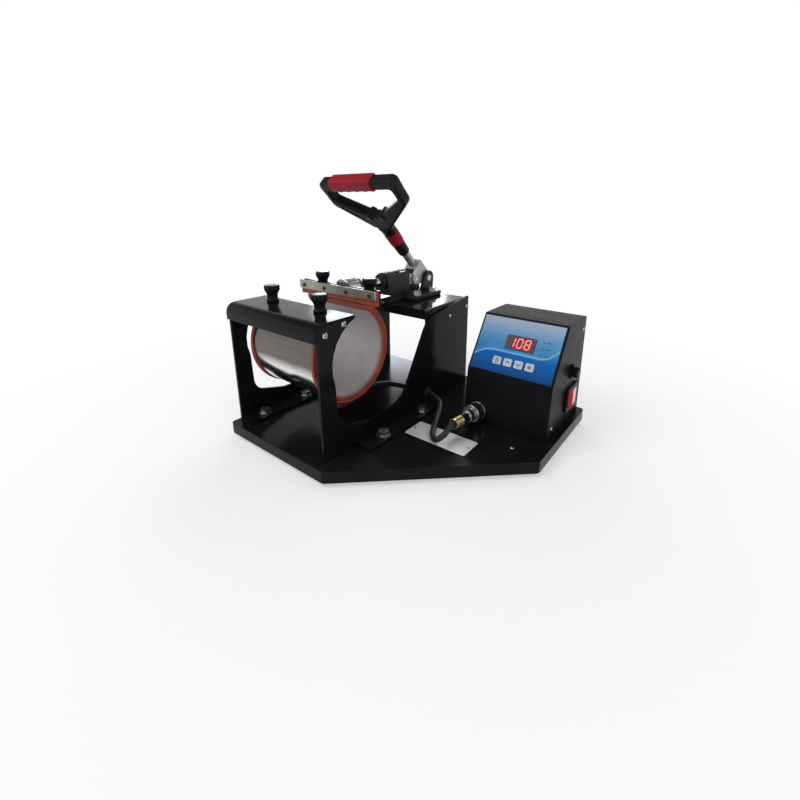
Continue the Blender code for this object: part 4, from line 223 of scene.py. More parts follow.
class Paint(Graph):
    """One material while its nodes are put together, round a Principled shader.

    Attributes:
        material: the material itself.
        shader: its Principled node.
    """

    def __init__(self, name: str) -> None:
        """Args: name: the material's name."""
        self.material = bpy.data.materials.new(name)
        self.material.use_nodes = True
        super().__init__(self.material.node_tree)
        self.tree.nodes.clear()
        self.shader = self.node("ShaderNodeBsdfPrincipled")
        self.node("ShaderNodeOutputMaterial", {}, {"Surface": self.shader.outputs[0]})
        self._place: Optional[bpy.types.NodeSocket] = None

    def place(self) -> bpy.types.NodeSocket:
        """Return the surface point in the object's own coordinates, in metres."""
        if self._place is None:
            self._place = self.node("ShaderNodeTexCoord").outputs["Object"]
        return self._place

    def axis(self, index: int, point: Optional[bpy.types.NodeSocket] = None) -> Num:
        """Return one coordinate of a point, by default of the surface point."""
        split = self.node("ShaderNodeSeparateXYZ", {}, {0: point or self.place()})
        return Num(self, split.outputs[index])

    def mapped(self, location: Point, turn: Point) -> bpy.types.NodeSocket:
        """Return the surface point seen from another place.

        Args:
            location: the point that becomes the origin.
            turn: how the pattern's axes are turned, in radians.

        Returns:
            The point in the turned axes.
        """
        return self.node(
            "ShaderNodeMapping",
            {"vector_type": "TEXTURE"},
            {"Vector": self.place(), "Location": location, "Rotation": turn},
        ).outputs[0]

    def noise(self, scale: float, detail: float = 3.0, stretch: Point = (1, 1, 1),
              rough: float = 0.55) -> Num:
        """Return a soft noise from 0 to 1.

        Args:
            scale: patches per metre.
            detail: how many finer layers it has.
            stretch: how it is squeezed along each axis.
            rough: how strong the finer layers are.

        Returns:
            The noise over the surface.
        """
        point = self.node(
            "ShaderNodeVectorMath", {"operation": "MULTIPLY"}, {0: self.place(), 1: stretch}
        ).outputs[0]
        node = self.node(
            "ShaderNodeTexNoise", {}, {"Vector": point, "Scale": scale, "Detail": detail, "Roughness": rough}
        )
        return Num(self, node.outputs[0])

    def cells(self, scale: float) -> Num:
        """Return the distance to the nearest of scattered points, with so many points per metre."""
        node = self.node("ShaderNodeTexVoronoi", {}, {"Vector": self.place(), "Scale": scale})
        return Num(self, node.outputs["Distance"])

    def attribute(self, name: str) -> Num:
        """Return a number that the piece's mesh holds under this name."""
        return Num(self, self.node("ShaderNodeAttribute", {"attribute_name": name}).outputs["Fac"])

    def mix(self, share: object, first: object, second: object) -> bpy.types.NodeSocket:
        """Return a colour between two others.

        Args:
            share: 0 for the first, 1 for the second.
            first: a colour or a socket.
            second: a colour or a socket.

        Returns:
            The mixed colour.
        """
        pair = [
            value if isinstance(value, bpy.types.NodeSocket) else (*value, 1.0) for value in (first, second)
        ]
        node = self.node("ShaderNodeMix", {"data_type": "RGBA"}, {0: share, 6: pair[0], 7: pair[1]})
        return node.outputs[2]

    def set(self, **sockets: object) -> None:
        """Feed the Principled shader; underscores in a name stand for spaces.

        Args:
            **sockets: values by the name of the input.
        """
        for name, value in sockets.items():
            if isinstance(value, tuple) and len(value) == 3:
                value = (*value, 1.0)
            self.feed(self.shader.inputs[name.replace("_", " ")], value)

    def relief(self, height: object, depth: float, edge: float = 0.0) -> None:
        """Give the surface its relief and softened edges.

        Args:
            height: a number from 0 to 1 over the surface.
            depth: what 1 stands for, in metres.
            edge: the radius that its edges are seen with, in metres.
        """
        sockets = {"Strength": 1.0, "Distance": depth, "Height": height}
        if edge > 0:
            sockets["Normal"] = self.node("ShaderNodeBevel", {"samples": 4}, {"Radius": edge}).outputs[0]
        self.feed(self.shader.inputs["Normal"], self.node("ShaderNodeBump", {}, sockets).outputs[0])


# Finishes


@dataclass(frozen=True)
class Finish:
    """A surface whose colour, gloss and relief drift a little.

    Attributes:
        name: what a maker would call it.
        slot: the record's material slot; it is not used.
        color: its main colour.
        shade: the colour that its patches drift to.
        patch: patches per metre.
        gloss: least and most roughness.
        metallic: 1 for bare metal.
        coat: weight of a clear coat.
        specular: strength of its plain gloss.
        grain: grains per metre.
        stretch: how the grain is squeezed along each axis.
        relief: height of the grain, in metres.
        dust: share of pale dust in its patches.
        edge: the radius that its edges are seen with, in metres.
    """

    name: str
    slot: str
    color: Rgb
    shade: Rgb
    patch: float = 45.0
    gloss: Flat = (0.3, 0.45)
    metallic: float = 0.0
    coat: float = 0.0
    specular: float = 0.5
    grain: float = 900.0
    stretch: Point = (1, 1, 1)
    relief: float = 0.00002
    dust: float = 0.0
    edge: float = 0.0004

    def material(self) -> bpy.types.Material:
        """Return the material, made once and then shared.

        Returns:
            The material of this name.
        """
        found = bpy.data.materials.get(self.name)
        if found is None:
            paint = Paint(self.name)
            self.apply(paint)
            found = paint.material
        return found

    def base_color(self, paint: Paint) -> bpy.types.NodeSocket:
        """Return the colour over the surface, before dust."""
        return paint.mix(paint.noise(self.patch, 4.0).ramp(0.3, 0.7), self.color, self.shade)

    def apply(self, paint: Paint) -> None:
        """Put the whole finish together.

        Args:
            paint: the new material.
        """
        color = self.base_color(paint)
        cloud = paint.noise(self.patch * 1.7, 5.0)
        low, high = self.gloss
        rough = cloud.ramp(0.25, 0.75) * (high - low) + low
        if self.dust > 0:
            flecks = (1.0 - paint.cells(650.0).ramp(0.05, 0.13)) * paint.noise(120.0, 2.0).ramp(0.5, 0.75)
            color = paint.mix(flecks * self.dust, color, (0.42, 0.41, 0.39))
            rough = rough + flecks * 0.3
        paint.set(Base_Color=color, Roughness=rough, Metallic=self.metallic)
        paint.set(Coat_Weight=self.coat, Specular_IOR_Level=self.specular)
        paint.relief(self.height(paint), self.relief, self.edge)

    def height(self, paint: Paint) -> Num:
        """Return the grain's height from 0 to 1."""
        return paint.noise(self.grain, 3.0, self.stretch)


@dataclass(frozen=True)
class BrushedMetal(Finish):
    """Metal with fine lines that run one way."""

    def height(self, paint: Paint) -> Num:
        """Return fine lines with a few deeper ones.

        Args:
            paint: the material that it is put together in.

        Returns:
            The height from 0 to 1.
        """
        fine = paint.noise(self.grain, 4.0, self.stretch, 0.7)
        deep = paint.noise(self.grain / 5, 2.0, self.stretch).ramp(0.62, 0.7)
        return fine * 0.9 + deep * 0.1


@dataclass(frozen=True)
class HeatedSheet(BrushedMetal):
    """Polished sheet with a painted dark reflection over its upper half, standing in for the dark
    surroundings that it mirrors.

    Attributes:
        tint: its colour where the dark reflection is painted.
        band: heights between which the painted reflection fades out, in metres.
    """

    tint: Rgb = (0.2, 0.18, 0.17)
    band: Flat = (0.0, 1.0)

    def base_color(self, paint: Paint) -> bpy.types.NodeSocket:
        """Return the sheet's own colour, with a painted dark reflection above the band.

        Args:
            paint: the material that it is put together in.

        Returns:
            The colour over the sheet.
        """
        # Painted reflection: above the band the colour darkens to stand in for the dark surroundings that the
        # steel mirrors.
        height = paint.axis(2) + (paint.noise(60.0, 3.0) - 0.5) * 0.003
        share = height.ramp(*self.band)
        streaks = paint.noise(160.0, 3.0, (0.04, 1, 1)).ramp(0.3, 0.7)
        painted_reflection = paint.mix(streaks, self.tint, tuple(0.75 * part for part in self.tint))
        return paint.mix(share, super().base_color(paint), painted_reflection)


@dataclass(frozen=True)
class CastMetal(Finish):
    """A cast and painted surface: a coarse skin with small pits."""

    def height(self, paint: Paint) -> Num:
        """Return the skin with its pits.

        Args:
            paint: the material that it is put together in.

        Returns:
            The height from 0 to 1.
        """
        pits = paint.cells(self.grain * 0.6).ramp(0.0, 0.35)
        return paint.noise(self.grain, 5.0, self.stretch, 0.7) * 0.6 + pits * 0.4


@dataclass(frozen=True)
class MouldedPlastic(Finish):
    """Moulded plastic: a leathery skin of rounded cells."""

    def height(self, paint: Paint) -> Num:
        """Return rounded cells with a fine noise on them."""
        return paint.cells(self.grain).ramp(0.0, 0.6) * 0.7 + paint.noise(self.grain * 2, 2.0) * 0.3


@dataclass(frozen=True)
class HeatedRubber(Finish):
    """Silicone rubber that heat has mottled, with a pale lining on its inner face.

    Attributes:
        lining: colour of the inner face, or None.
        weave: pitch of the cloth print on the lining, in metres.
    """

    lining: Optional[Rgb] = None
    weave: float = 0.0009

    def base_color(self, paint: Paint) -> bpy.types.NodeSocket:
        """Return mottled rubber, with the lining where the mesh says it is inside.

        Args:
            paint: the material that it is put together in.

        Returns:
            The colour over the rubber.
        """
        blotch = paint.noise(self.patch, 5.0).ramp(0.35, 0.68)
        color = paint.mix(blotch, self.color, self.shade)
        if self.lining is None:
            return color
        stain = paint.noise(38.0, 4.0).ramp(0.45, 0.8)
        worn = paint.mix(stain, self.lining, tuple(0.80 * part for part in self.lining))
        return paint.mix(paint.attribute("inside"), color, worn)

    def height(self, paint: Paint) -> Num:
        """Return the print of the cloth that the rubber was cured against.

        Args:
            paint: the material that it is put together in.

        Returns:
            The height from 0 to 1.
        """
        across = (paint.axis(0) * (2 * math.pi / self.weave)).sine()
        along = ((paint.axis(1) + paint.axis(2)) * (2 * math.pi / self.weave)).sine()
        return (across * along) * 0.25 + paint.noise(self.grain, 3.0) * 0.5


@dataclass(frozen=True)
class PanelFilm(Finish):
    """The printed film on the sloping panel: a blue that pales upwards, crossed by one pale wave.

    Attributes:
        foot: the panel's lower middle point.
        slope: how far the panel leans back, in radians.
        length: the panel's length up its slope, in metres.
        half_width: half of its width, in metres.
    """

    foot: Point = (0, 0, 0)
    slope: float = 0.0
    length: float = 0.06
    half_width: float = 0.0449

    def base_color(self, paint: Paint) -> bpy.types.NodeSocket:
        """Return the print in the panel's own coordinates.

        Args:
            paint: the material that it is put together in.

        Returns:
            The colour over the panel.
        """
        local = paint.mapped(self.foot, (self.slope, 0, 0))
        across, up = paint.axis(0, local), paint.axis(1, local)
        share = up / self.length
        ramp = paint.node(
            "ShaderNodeValToRGB",
            {
                "stops": [
                    (0.0, (0.001, 0.050, 0.205)),
                    (0.36, (0.001, 0.120, 0.40)),
                    (0.46, (0.030, 0.190, 0.44)),
                    (0.68, (0.110, 0.280, 0.50)),
                    (0.95, (0.330, 0.400, 0.53)),
                ]
            },
            {0: share},
        ).outputs[0]
        place = across / (2 * self.half_width) + 0.5
        fall = (1.0 - place.ramp(0.0, 0.24)) ** 2 * 0.15
        rise = place.ramp(0.80, 1.0) ** 2 * 0.20
        away = share - (0.40 - fall + rise)
        line = 1.0 - (away.size() / 0.020).ramp(0.25, 1.0)
        glow = (1.0 - (away / 0.16).ramp(0.0, 1.0)) * (away / 0.004).ramp(0.0, 1.0)
        lit = paint.mix(glow * 0.30, ramp, (0.16, 0.42, 0.66))
        printed = paint.mix(line * 0.60, lit, (0.30, 0.60, 0.85))
        side = ((place - 0.5).size() - 0.488).ramp(0.0, 0.006)
        ends = (((share - 0.5).size()) - 0.482).ramp(0.0, 0.010)
        border = paint.mix((side + ends).least(1.0), printed, (0.006, 0.016, 0.04))
        return border


@dataclass(frozen=True)
class Glow(Finish):
    """A lit face, such as a digit or a small lamp.

    Attributes:
        strength: how bright it is.
    """

    strength: float = 1.0

    def apply(self, paint: Paint) -> None:
        """Add the light to the plain finish.

        Args:
            paint: the material that it is put together in.
        """
        super().apply(paint)
        hot = paint.mix(paint.noise(700.0, 2.0).ramp(0.35, 0.7), self.color, self.shade)
        paint.set(Emission_Color=hot, Emission_Strength=self.strength)


@dataclass(frozen=True)
class Board(Finish):
    """A circuit board: green lacquer with faint copper tracks."""

    def base_color(self, paint: Paint) -> bpy.types.NodeSocket:
        """Return lacquer with tracks along two directions.

        Args:
            paint: the material that it is put together in.

        Returns:
            The colour over the board.
        """
        tracks = (paint.axis(0) * 2500.0).sine().ramp(0.72, 0.9)
        patches = paint.noise(160.0, 1.0).ramp(0.45, 0.55)
        return paint.mix(tracks * patches, self.color, self.shade)


GLOSS_BLACK = Finish(
    "gloss black paint", "black_paint", (0.0045, 0.0047, 0.0056), (0.0085, 0.0087, 0.0098), patch=30.0,
    gloss=(0.10, 0.20), specular=0.09, grain=480.0, relief=0.00003, dust=0.07, edge=0.0008,
)
BOX_BLACK = Finish(
    "box black paint", "black_paint", (0.006, 0.0063, 0.0072), (0.010, 0.0103, 0.0112), patch=34.0,
    gloss=(0.24, 0.36), specular=0.035, grain=1300.0, relief=0.000025, dust=0.05, edge=0.0008,
)
CAST_BLACK = CastMetal(
    "black cast paint", "casting_black", (0.008, 0.008, 0.0085), (0.018, 0.018, 0.019), patch=90.0,
    gloss=(0.26, 0.46), specular=0.18, grain=800.0, relief=0.00005, dust=0.08, edge=0.0007,
)
STEEL = BrushedMetal(
    "plated steel", "steel", (0.50, 0.51, 0.50), (0.40, 0.41, 0.40), patch=60.0,
    gloss=(0.20, 0.32), metallic=1.0, grain=5000.0, relief=0.000001, edge=0.0,
)
# The sheet's darker upper band is a painted reflection of dark surroundings.
SHEET_STEEL = HeatedSheet(
    "polished sheet", "steel", (0.84, 0.83, 0.81), (0.70, 0.69, 0.675), patch=22.0, gloss=(0.12, 0.20),
    metallic=1.0, grain=1200.0, stretch=(0.03, 1, 1), relief=0.000004, edge=0.0,
    tint=(0.16, 0.145, 0.135), band=(0.087, 0.097),
)
ROD = BrushedMetal(
    "polished rod", "polished_rod", (0.44, 0.46, 0.43), (0.32, 0.34, 0.31), patch=50.0, gloss=(0.14, 0.26),
    metallic=1.0, grain=4000.0, stretch=(1, 0.1, 1), relief=0.000001, edge=0.0,
)
ZINC = BrushedMetal(
    "zinc plate", "steel", (0.40, 0.43, 0.40), (0.31, 0.335, 0.31), patch=90.0, gloss=(0.38, 0.52),
    metallic=0.85, grain=4000.0, relief=0.000001, edge=0.0003,
)
CHAMPAGNE = BrushedMetal(
    "champagne strip", "strip_metal", (0.34, 0.335, 0.28), (0.26, 0.255, 0.21), patch=60.0,
    gloss=(0.28, 0.40), metallic=1.0, grain=1500.0, stretch=(0.04, 1, 1), relief=0.000004, edge=0.0003,
)
SPRING_WIRE = BrushedMetal(
    "spring wire", "spring_wire", (0.62, 0.50, 0.28), (0.40, 0.31, 0.16), patch=160.0, gloss=(0.20, 0.32),
    metallic=1.0, grain=6000.0, relief=0.000001, edge=0.0,
)
DARK_STEEL = BrushedMetal(
    "blackened steel", "dark_nut", (0.022, 0.022, 0.024), (0.05, 0.05, 0.05), patch=140.0, gloss=(0.28, 0.42),
    metallic=0.7, grain=5000.0, relief=0.000001, edge=0.0,
)
WRAP_RUBBER = HeatedRubber(
    "wrap rubber", "red_rubber", (0.30, 0.050, 0.028), (0.17, 0.026, 0.018), patch=85.0, gloss=(0.42, 0.6),
    specular=0.35, grain=1400.0, relief=0.00003, edge=0.0, lining=(0.44, 0.41, 0.40),
)
RIM_RUBBER = HeatedRubber(
    "rim rubber", "red_rubber", (0.38, 0.060, 0.032), (0.19, 0.028, 0.020), patch=95.0, gloss=(0.38, 0.55),
    specular=0.35, grain=1400.0, relief=0.00003, edge=0.0,
)
TERMINAL_RUBBER = HeatedRubber(
    "terminal rubber", "terminal_rubber", (0.10, 0.020, 0.014), (0.055, 0.011, 0.009), patch=120.0,
    gloss=(0.45, 0.65), specular=0.35, grain=1400.0, relief=0.00004, edge=0.0005,
)
GRIP_RED = MouldedPlastic(
    "grip rubber", "red_rubber", (0.32, 0.008, 0.022), (0.22, 0.006, 0.015), patch=60.0, gloss=(0.36, 0.52),
    specular=0.13, grain=1500.0, relief=0.00004, edge=0.0006,
)
BLACK_PLASTIC = MouldedPlastic(
    "black moulded plastic", "black_plastic", (0.007, 0.007, 0.008), (0.014, 0.014, 0.015), patch=70.0,
    gloss=(0.26, 0.40), specular=0.08, grain=1800.0, relief=0.00003, dust=0.05, edge=0.0007,
)
# The cap's light grey is a painted highlight: it stands in for the light that the knob tops mirror.
KNOB_CAP_HIGHLIGHT = MouldedPlastic(
    "knob cap", "black_plastic", (0.24, 0.25, 0.26), (0.15, 0.155, 0.16), patch=200.0, gloss=(0.18, 0.30),
    grain=2200.0, relief=0.00002, edge=0.0004,
)
FOOT_RUBBER = MouldedPlastic(
    "foot rubber", "foot_rubber", (0.014, 0.014, 0.014), (0.026, 0.025, 0.024), patch=90.0, gloss=(0.6, 0.8),
    specular=0.3, grain=1200.0, relief=0.00005, dust=0.15, edge=0.0004,
)
CABLE_SHEATH = MouldedPlastic(
    "cable sheath", "cable_sheath", (0.011, 0.011, 0.012), (0.020, 0.020, 0.021), patch=110.0,
    gloss=(0.36, 0.52), specular=0.35, grain=2200.0, relief=0.00002, dust=0.08, edge=0.0,
)
DISPLAY_GLASS = Finish(
    "display window", "display_plastic", (0.040, 0.004, 0.006), (0.07, 0.008, 0.010), patch=120.0,
    gloss=(0.08, 0.16), specular=0.2, grain=300.0, relief=0.000008, edge=0.0003,
)
KEY_WHITE = MouldedPlastic(
    "key top", "button_plastic", (0.46, 0.54, 0.62), (0.36, 0.44, 0.53), patch=300.0, gloss=(0.3, 0.42),
    specular=0.3, grain=2500.0, relief=0.00002, edge=0.0006,
)
KEY_MARK = Finish(
    "key mark", "panel_film", (0.03, 0.10, 0.24), (0.04, 0.13, 0.30), patch=400.0, gloss=(0.35, 0.5),
    specular=0.2, grain=2500.0, relief=0.00001, edge=0.0,
)
# The rocker glows as a lit switch, and its glow is raised further as a painted highlight on the red.
ROCKER_RED = Glow(
    "rocker plastic", "rocker_plastic", (0.62, 0.075, 0.10), (0.50, 0.055, 0.075), patch=150.0,
    gloss=(0.16, 0.28), coat=0.4, grain=900.0, relief=0.000015, edge=0.0006, strength=0.34,
)
BOARD_GREEN = Board(
    "board lacquer", "board_laminate", (0.012, 0.12, 0.045), (0.05, 0.26, 0.09), patch=200.0,
    gloss=(0.2, 0.35), grain=1500.0, relief=0.00002, edge=0.0003,
)
DIGIT_RED = Glow(
    "lit digit", "display_plastic", (1.0, 0.16, 0.16), (1.0, 0.09, 0.09), gloss=(0.3, 0.4), strength=0.9,
    edge=0.0,
)
LAMP_DARK = Finish(
    "unlit lamp", "display_plastic", (0.010, 0.030, 0.09), (0.018, 0.045, 0.12), patch=500.0,
    gloss=(0.2, 0.3), grain=2500.0, relief=0.000005, edge=0.0,
)
BARE_PLATE = BrushedMetal(
    "bare aluminium", "steel", (0.70, 0.70, 0.68), (0.62, 0.62, 0.59), patch=45.0, gloss=(0.34, 0.48),
    metallic=0.35, grain=2500.0, stretch=(0.04, 1, 1), relief=0.000004, edge=0.0002,
)


# Meshes


def add_piece(name: str, mesh: bpy.types.Mesh, finish: Finish) -> bpy.types.Object:
    """Link a finished mesh to the scene under its finish.

    Args:
        name: the piece's name.
        mesh: a mesh whose place is in its points.
        finish: what it is made of.

    Returns:
        The new object, at the origin.
    """
    piece = bpy.data.objects.new(name, mesh)
    bpy.context.scene.collection.objects.link(piece)
    mesh.materials.clear()
    mesh.materials.append(finish.material())
    return piece


def mesh_from(name: str, points: Iterable[Sequence[float]], faces: Iterable[Sequence[int]]) -> bpy.types.Mesh:
    """Return a merged mesh whose faces look outward, in smooth shading with sharp edges.

    Args:
        name: the mesh's name.
        points: its points.
        faces: the points of each face, by number.

    Returns:
        The new mesh.
    """
    mesh = bpy.data.meshes.new(name)
    mesh.from_pydata([tuple(point) for point in points], [], [tuple(face) for face in faces])
    return tidied(mesh)


def tidied(mesh: bpy.types.Mesh, angle: float = 38.0, outward: bool = True) -> bpy.types.Mesh:
    """Merge a mesh's doubles and shade it smooth between its sharp edges.

    Args:
        mesh: the mesh, which is changed in place.
        angle: the sharpest turn that is still shaded smooth, in degrees.
        outward: whether the faces are turned outward.

    Returns:
        The same mesh.
    """
    work = bmesh.new()
    work.from_mesh(mesh)
    bmesh.ops.remove_doubles(work, verts=work.verts, dist=0.000002)
    if outward:
        bmesh.ops.recalc_face_normals(work, faces=work.faces)
    work.to_mesh(mesh)
    work.free()
    mesh.shade_smooth()
    mesh.set_sharp_from_angle(angle=math.radians(angle))
    return mesh


def joined(name: str, meshes: Sequence[bpy.types.Mesh]) -> bpy.types.Mesh:
    """Return one mesh that holds all the stated ones, which are then removed.

    Args:
        name: the new mesh's name.
        meshes: the meshes that it takes up.

    Returns:
        The new mesh.
    """
    work = bmesh.new()
    for mesh in meshes:
        work.from_mesh(mesh)
        bpy.data.meshes.remove(mesh)
    whole = bpy.data.meshes.new(name)
    work.to_mesh(whole)
    work.free()
    whole.shade_smooth()
    whole.set_sharp_from_angle(angle=math.radians(38.0))
    return whole


def turned(name: str, profile: Sequence[Flat], place: Matrix, steps: int = 48,
           shape: Optional[Callable[[float, float, float], float]] = None) -> bpy.types.Mesh:
    """Turn a profile about the Z axis of a place.

    Args:
        name: the mesh's name.
        profile: radius and height, closed on itself unless both its ends are on the axis.
        place: where the axis is.
        steps: how many sides it has.
        shape: gives the radius from radius, height and angle, for flutes.

    Returns:
        A closed mesh.
    """
    on_axis = profile[0][0] == 0 and profile[-1][0] == 0
    points, faces = [], []
    for step in range(steps):
        angle = 2 * math.pi * step / steps
        for radius, height in profile:
            reach = shape(radius, height, angle) if shape else radius
            points.append(place @ Vector((reach * math.cos(angle), reach * math.sin(angle), height)))
    count = len(profile)
    spans = count - 1 if on_axis else count
    for step in range(steps):
        here, there = step * count, (step + 1) % steps * count
        for index in range(spans):
            after = (index + 1) % count
            corners = [here + index, there + index, there + after, here + after]
            if profile[index][0] == 0:
                corners = [here + index, there + after, here + after]
            elif profile[after][0] == 0:
                corners = [here + index, there + index, here + after]
            faces.append(corners)
    return mesh_from(name, points, faces)


def tube(name: str, route: Sequence[Vector], radius: float, sides: int = 14) -> bpy.types.Mesh:
    """Return a closed tube along a route, carried along it without twist.

    Args:
        name: the mesh's name.
        route: the points of its middle line.
        radius: its radius.
        sides: how many sides it has.

    Returns:
        A closed mesh.
    """
    points, faces = [], []
    forward = (route[1] - route[0]).normalized()
    side = forward.orthogonal().normalized()
    for index, centre in enumerate(route):
        before, after = route[max(0, index - 1)], route[min(len(route) - 1, index + 1)]
        heading = (after - before).normalized()
        side = (side - heading * side.dot(heading)).normalized()
        up = heading.cross(side)
        for step in range(sides):
            angle = 2 * math.pi * step / sides
            points.append(centre + (side * math.cos(angle) + up * math.sin(angle)) * radius)
    for index in range(len(route) - 1):
        for step in range(sides):
            after = (step + 1) % sides
            low, high = index * sides, (index + 1) * sides
            faces.append((low + step, low + after, high + after, high + step))
    faces.append(tuple(range(sides)))
    faces.append(tuple(range((len(route) - 1) * sides, len(route) * sides)))
    return mesh_from(name, points, faces)


def loft(name: str, rings: Sequence[Sequence[Vector]], closed: bool = False) -> bpy.types.Mesh:
    """Return a skin through rings of equal count, capped at both ends unless it closes on itself.

    Args:
        name: the mesh's name.
        rings: rings with the same number of points.
        closed: whether the last ring joins the first.

    Returns:
        A closed mesh.
    """
    count = len(rings[0])
    points = [point for ring in rings for point in ring]
    faces = []
    for index in range(len(rings) if closed else len(rings) - 1):
        low, high = index * count, (index + 1) % len(rings) * count
        for step in range(count):
            after = (step + 1) % count
            faces.append((low + step, low + after, high + after, high + step))
    if not closed:
        faces.append(tuple(range(count)))
        faces.append(tuple(range((len(rings) - 1) * count, len(rings) * count)))
    return mesh_from(name, points, faces)


def rounded_box(half: Flat, radius: float, steps: int = 5, centre: Flat = (0, 0)) -> list[Flat]:
    """Return the outline of a rectangle with rounded corners, anticlockwise.

    Args:
        half: half of its width and height.
        radius: radius of its corners.
        steps: steps round one corner.
        centre: its middle.

    Returns:
        The points of the outline.
    """
    outline = []
    for number, (across, up) in enumerate(((1, 1), (-1, 1), (-1, -1), (1, -1))):
        for step in range(steps + 1):
            angle = math.pi / 2 * (number + step / steps)
            x = across * (half[0] - radius) + radius * math.cos(angle)
            y = up * (half[1] - radius) + radius * math.sin(angle)
            outline.append((centre[0] + x, centre[1] + y))
    return outline


def slab(name: str, outline: Sequence[Flat], low: float, high: float, place: Matrix,
         edge: float) -> bpy.types.Mesh:
    """Return a plate with an outline and a softened upper edge.

    Args:
        name: the mesh's name.
        outline: its x and y, anticlockwise.
        low: height of its underside.
        high: height of its upper face.
        place: where the outline's plane is.
        edge: radius of the upper edge.

    Returns:
        A closed mesh.
    """
    middle_x = sum(x for x, _ in outline) / len(outline)
    middle_y = sum(y for _, y in outline) / len(outline)
    reach = min(math.hypot(x - middle_x, y - middle_y) for x, y in outline)
    levels = [(0.0, low), (0.0, high - edge)]
    for step in (1, 2, 3):
        angle = math.pi / 2 * step / 3
        levels.append((edge * (1 - math.cos(angle)), high - edge + edge * math.sin(angle)))
    rings = []
    for inward, height in levels:
        share = 1 - inward / reach
        rings.append(
            [
                place @ Vector((middle_x + (x - middle_x) * share, middle_y + (y - middle_y) * share, height))
                for x, y in outline
            ]
        )
    return loft(name, rings)


def combined(mesh: bpy.types.Mesh, others: Sequence[bpy.types.Mesh], operation: str) -> bpy.types.Mesh:
    """Add other closed meshes to one, or cut them out of it.

    Args:
        mesh: the closed mesh to start with.
        others: the closed meshes that are added or cut out, one after the other.
        operation: "UNION" or "DIFFERENCE".

    Returns:
        The resulting closed mesh.
    """
    whole = bpy.data.objects.new("whole", mesh)
    helpers = [bpy.data.objects.new("helper", other) for other in others]
    for holder in (whole, *helpers):
        bpy.context.scene.collection.objects.link(holder)
    for helper in helpers:
        modifier = whole.modifiers.new("combine", "BOOLEAN")
        modifier.operation, modifier.object, modifier.solver = operation, helper, "EXACT"
    result = bpy.data.meshes.new_from_object(whole.evaluated_get(bpy.context.evaluated_depsgraph_get()))
    for holder in (whole, *helpers):
        bpy.data.objects.remove(holder)
    return result


def body_of(node: str) -> str:
    """Return the name of the body that a CAD node rides on."""
    return str(frame["nodes"][node]["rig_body"])


def refine(node: str, finish: Finish, angle: float = 38.0,
           reshape: Optional[Callable[[Vector], Vector]] = None) -> bpy.types.Object:
    """Stand a merged and smoothly shaded copy in the place of a CAD node.

    Args:
        node: the CAD node.
        finish: what it is made of.
        angle: the sharpest turn that is still shaded smooth, in degrees.
        reshape: gives each point's new place, where the piece is finer than the node.

    Returns:
        The piece.
    """
    source = frame["nodes"][node].data
    mesh = bpy.data.meshes.new(f"{node}_fine")
    places = [reshape(vertex.co) if reshape else vertex.co for vertex in source.vertices]
    mesh.from_pydata([tuple(place) for place in places], [], [tuple(p.vertices) for p in source.polygons])
    piece = add_piece(f"{node}_fine", tidied(mesh, angle, outward=False), finish)
    return settle(evenly_shaded(piece), body_of(node), node)


def evenly_shaded(piece: bpy.types.Object) -> bpy.types.Object:
    """Let large faces lead the shading of a piece, and return it.

    Args:
        piece: the piece.

    Returns:
        The same piece.
    """
    weight = piece.modifiers.new("even shading", "WEIGHTED_NORMAL")
    weight.keep_sharp = True
    return piece


def settle(piece: bpy.types.Object, body: str, *nodes: str) -> bpy.types.Object:
    """Fix a piece to a body, in the place of the stated CAD nodes, and report it.

    Args:
        piece: the piece.
        body: what it rides on.
        *nodes: the CAD nodes that it stands for.

    Returns:
        The same piece.
    """
    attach(piece, body)
    if nodes:
        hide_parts(*nodes)
    LOG.info("made %s on %s", piece.name, body)
    return piece


# Hardware


class Drive(Enum):
    """What a screw is turned with."""

    CROSS = "cross"
    SLOT = "slot"
    SOCKET = "socket"


@dataclass(frozen=True)
class ScrewKind:
    """One size of screw head.

    Attributes:
        radius: radius of the head at its foot.
        height: how far the head stands out.
        drive: what it is turned with.
        finish: what it is made of.
    """

    radius: float
    height: float
    drive: Drive
    finish: Finish


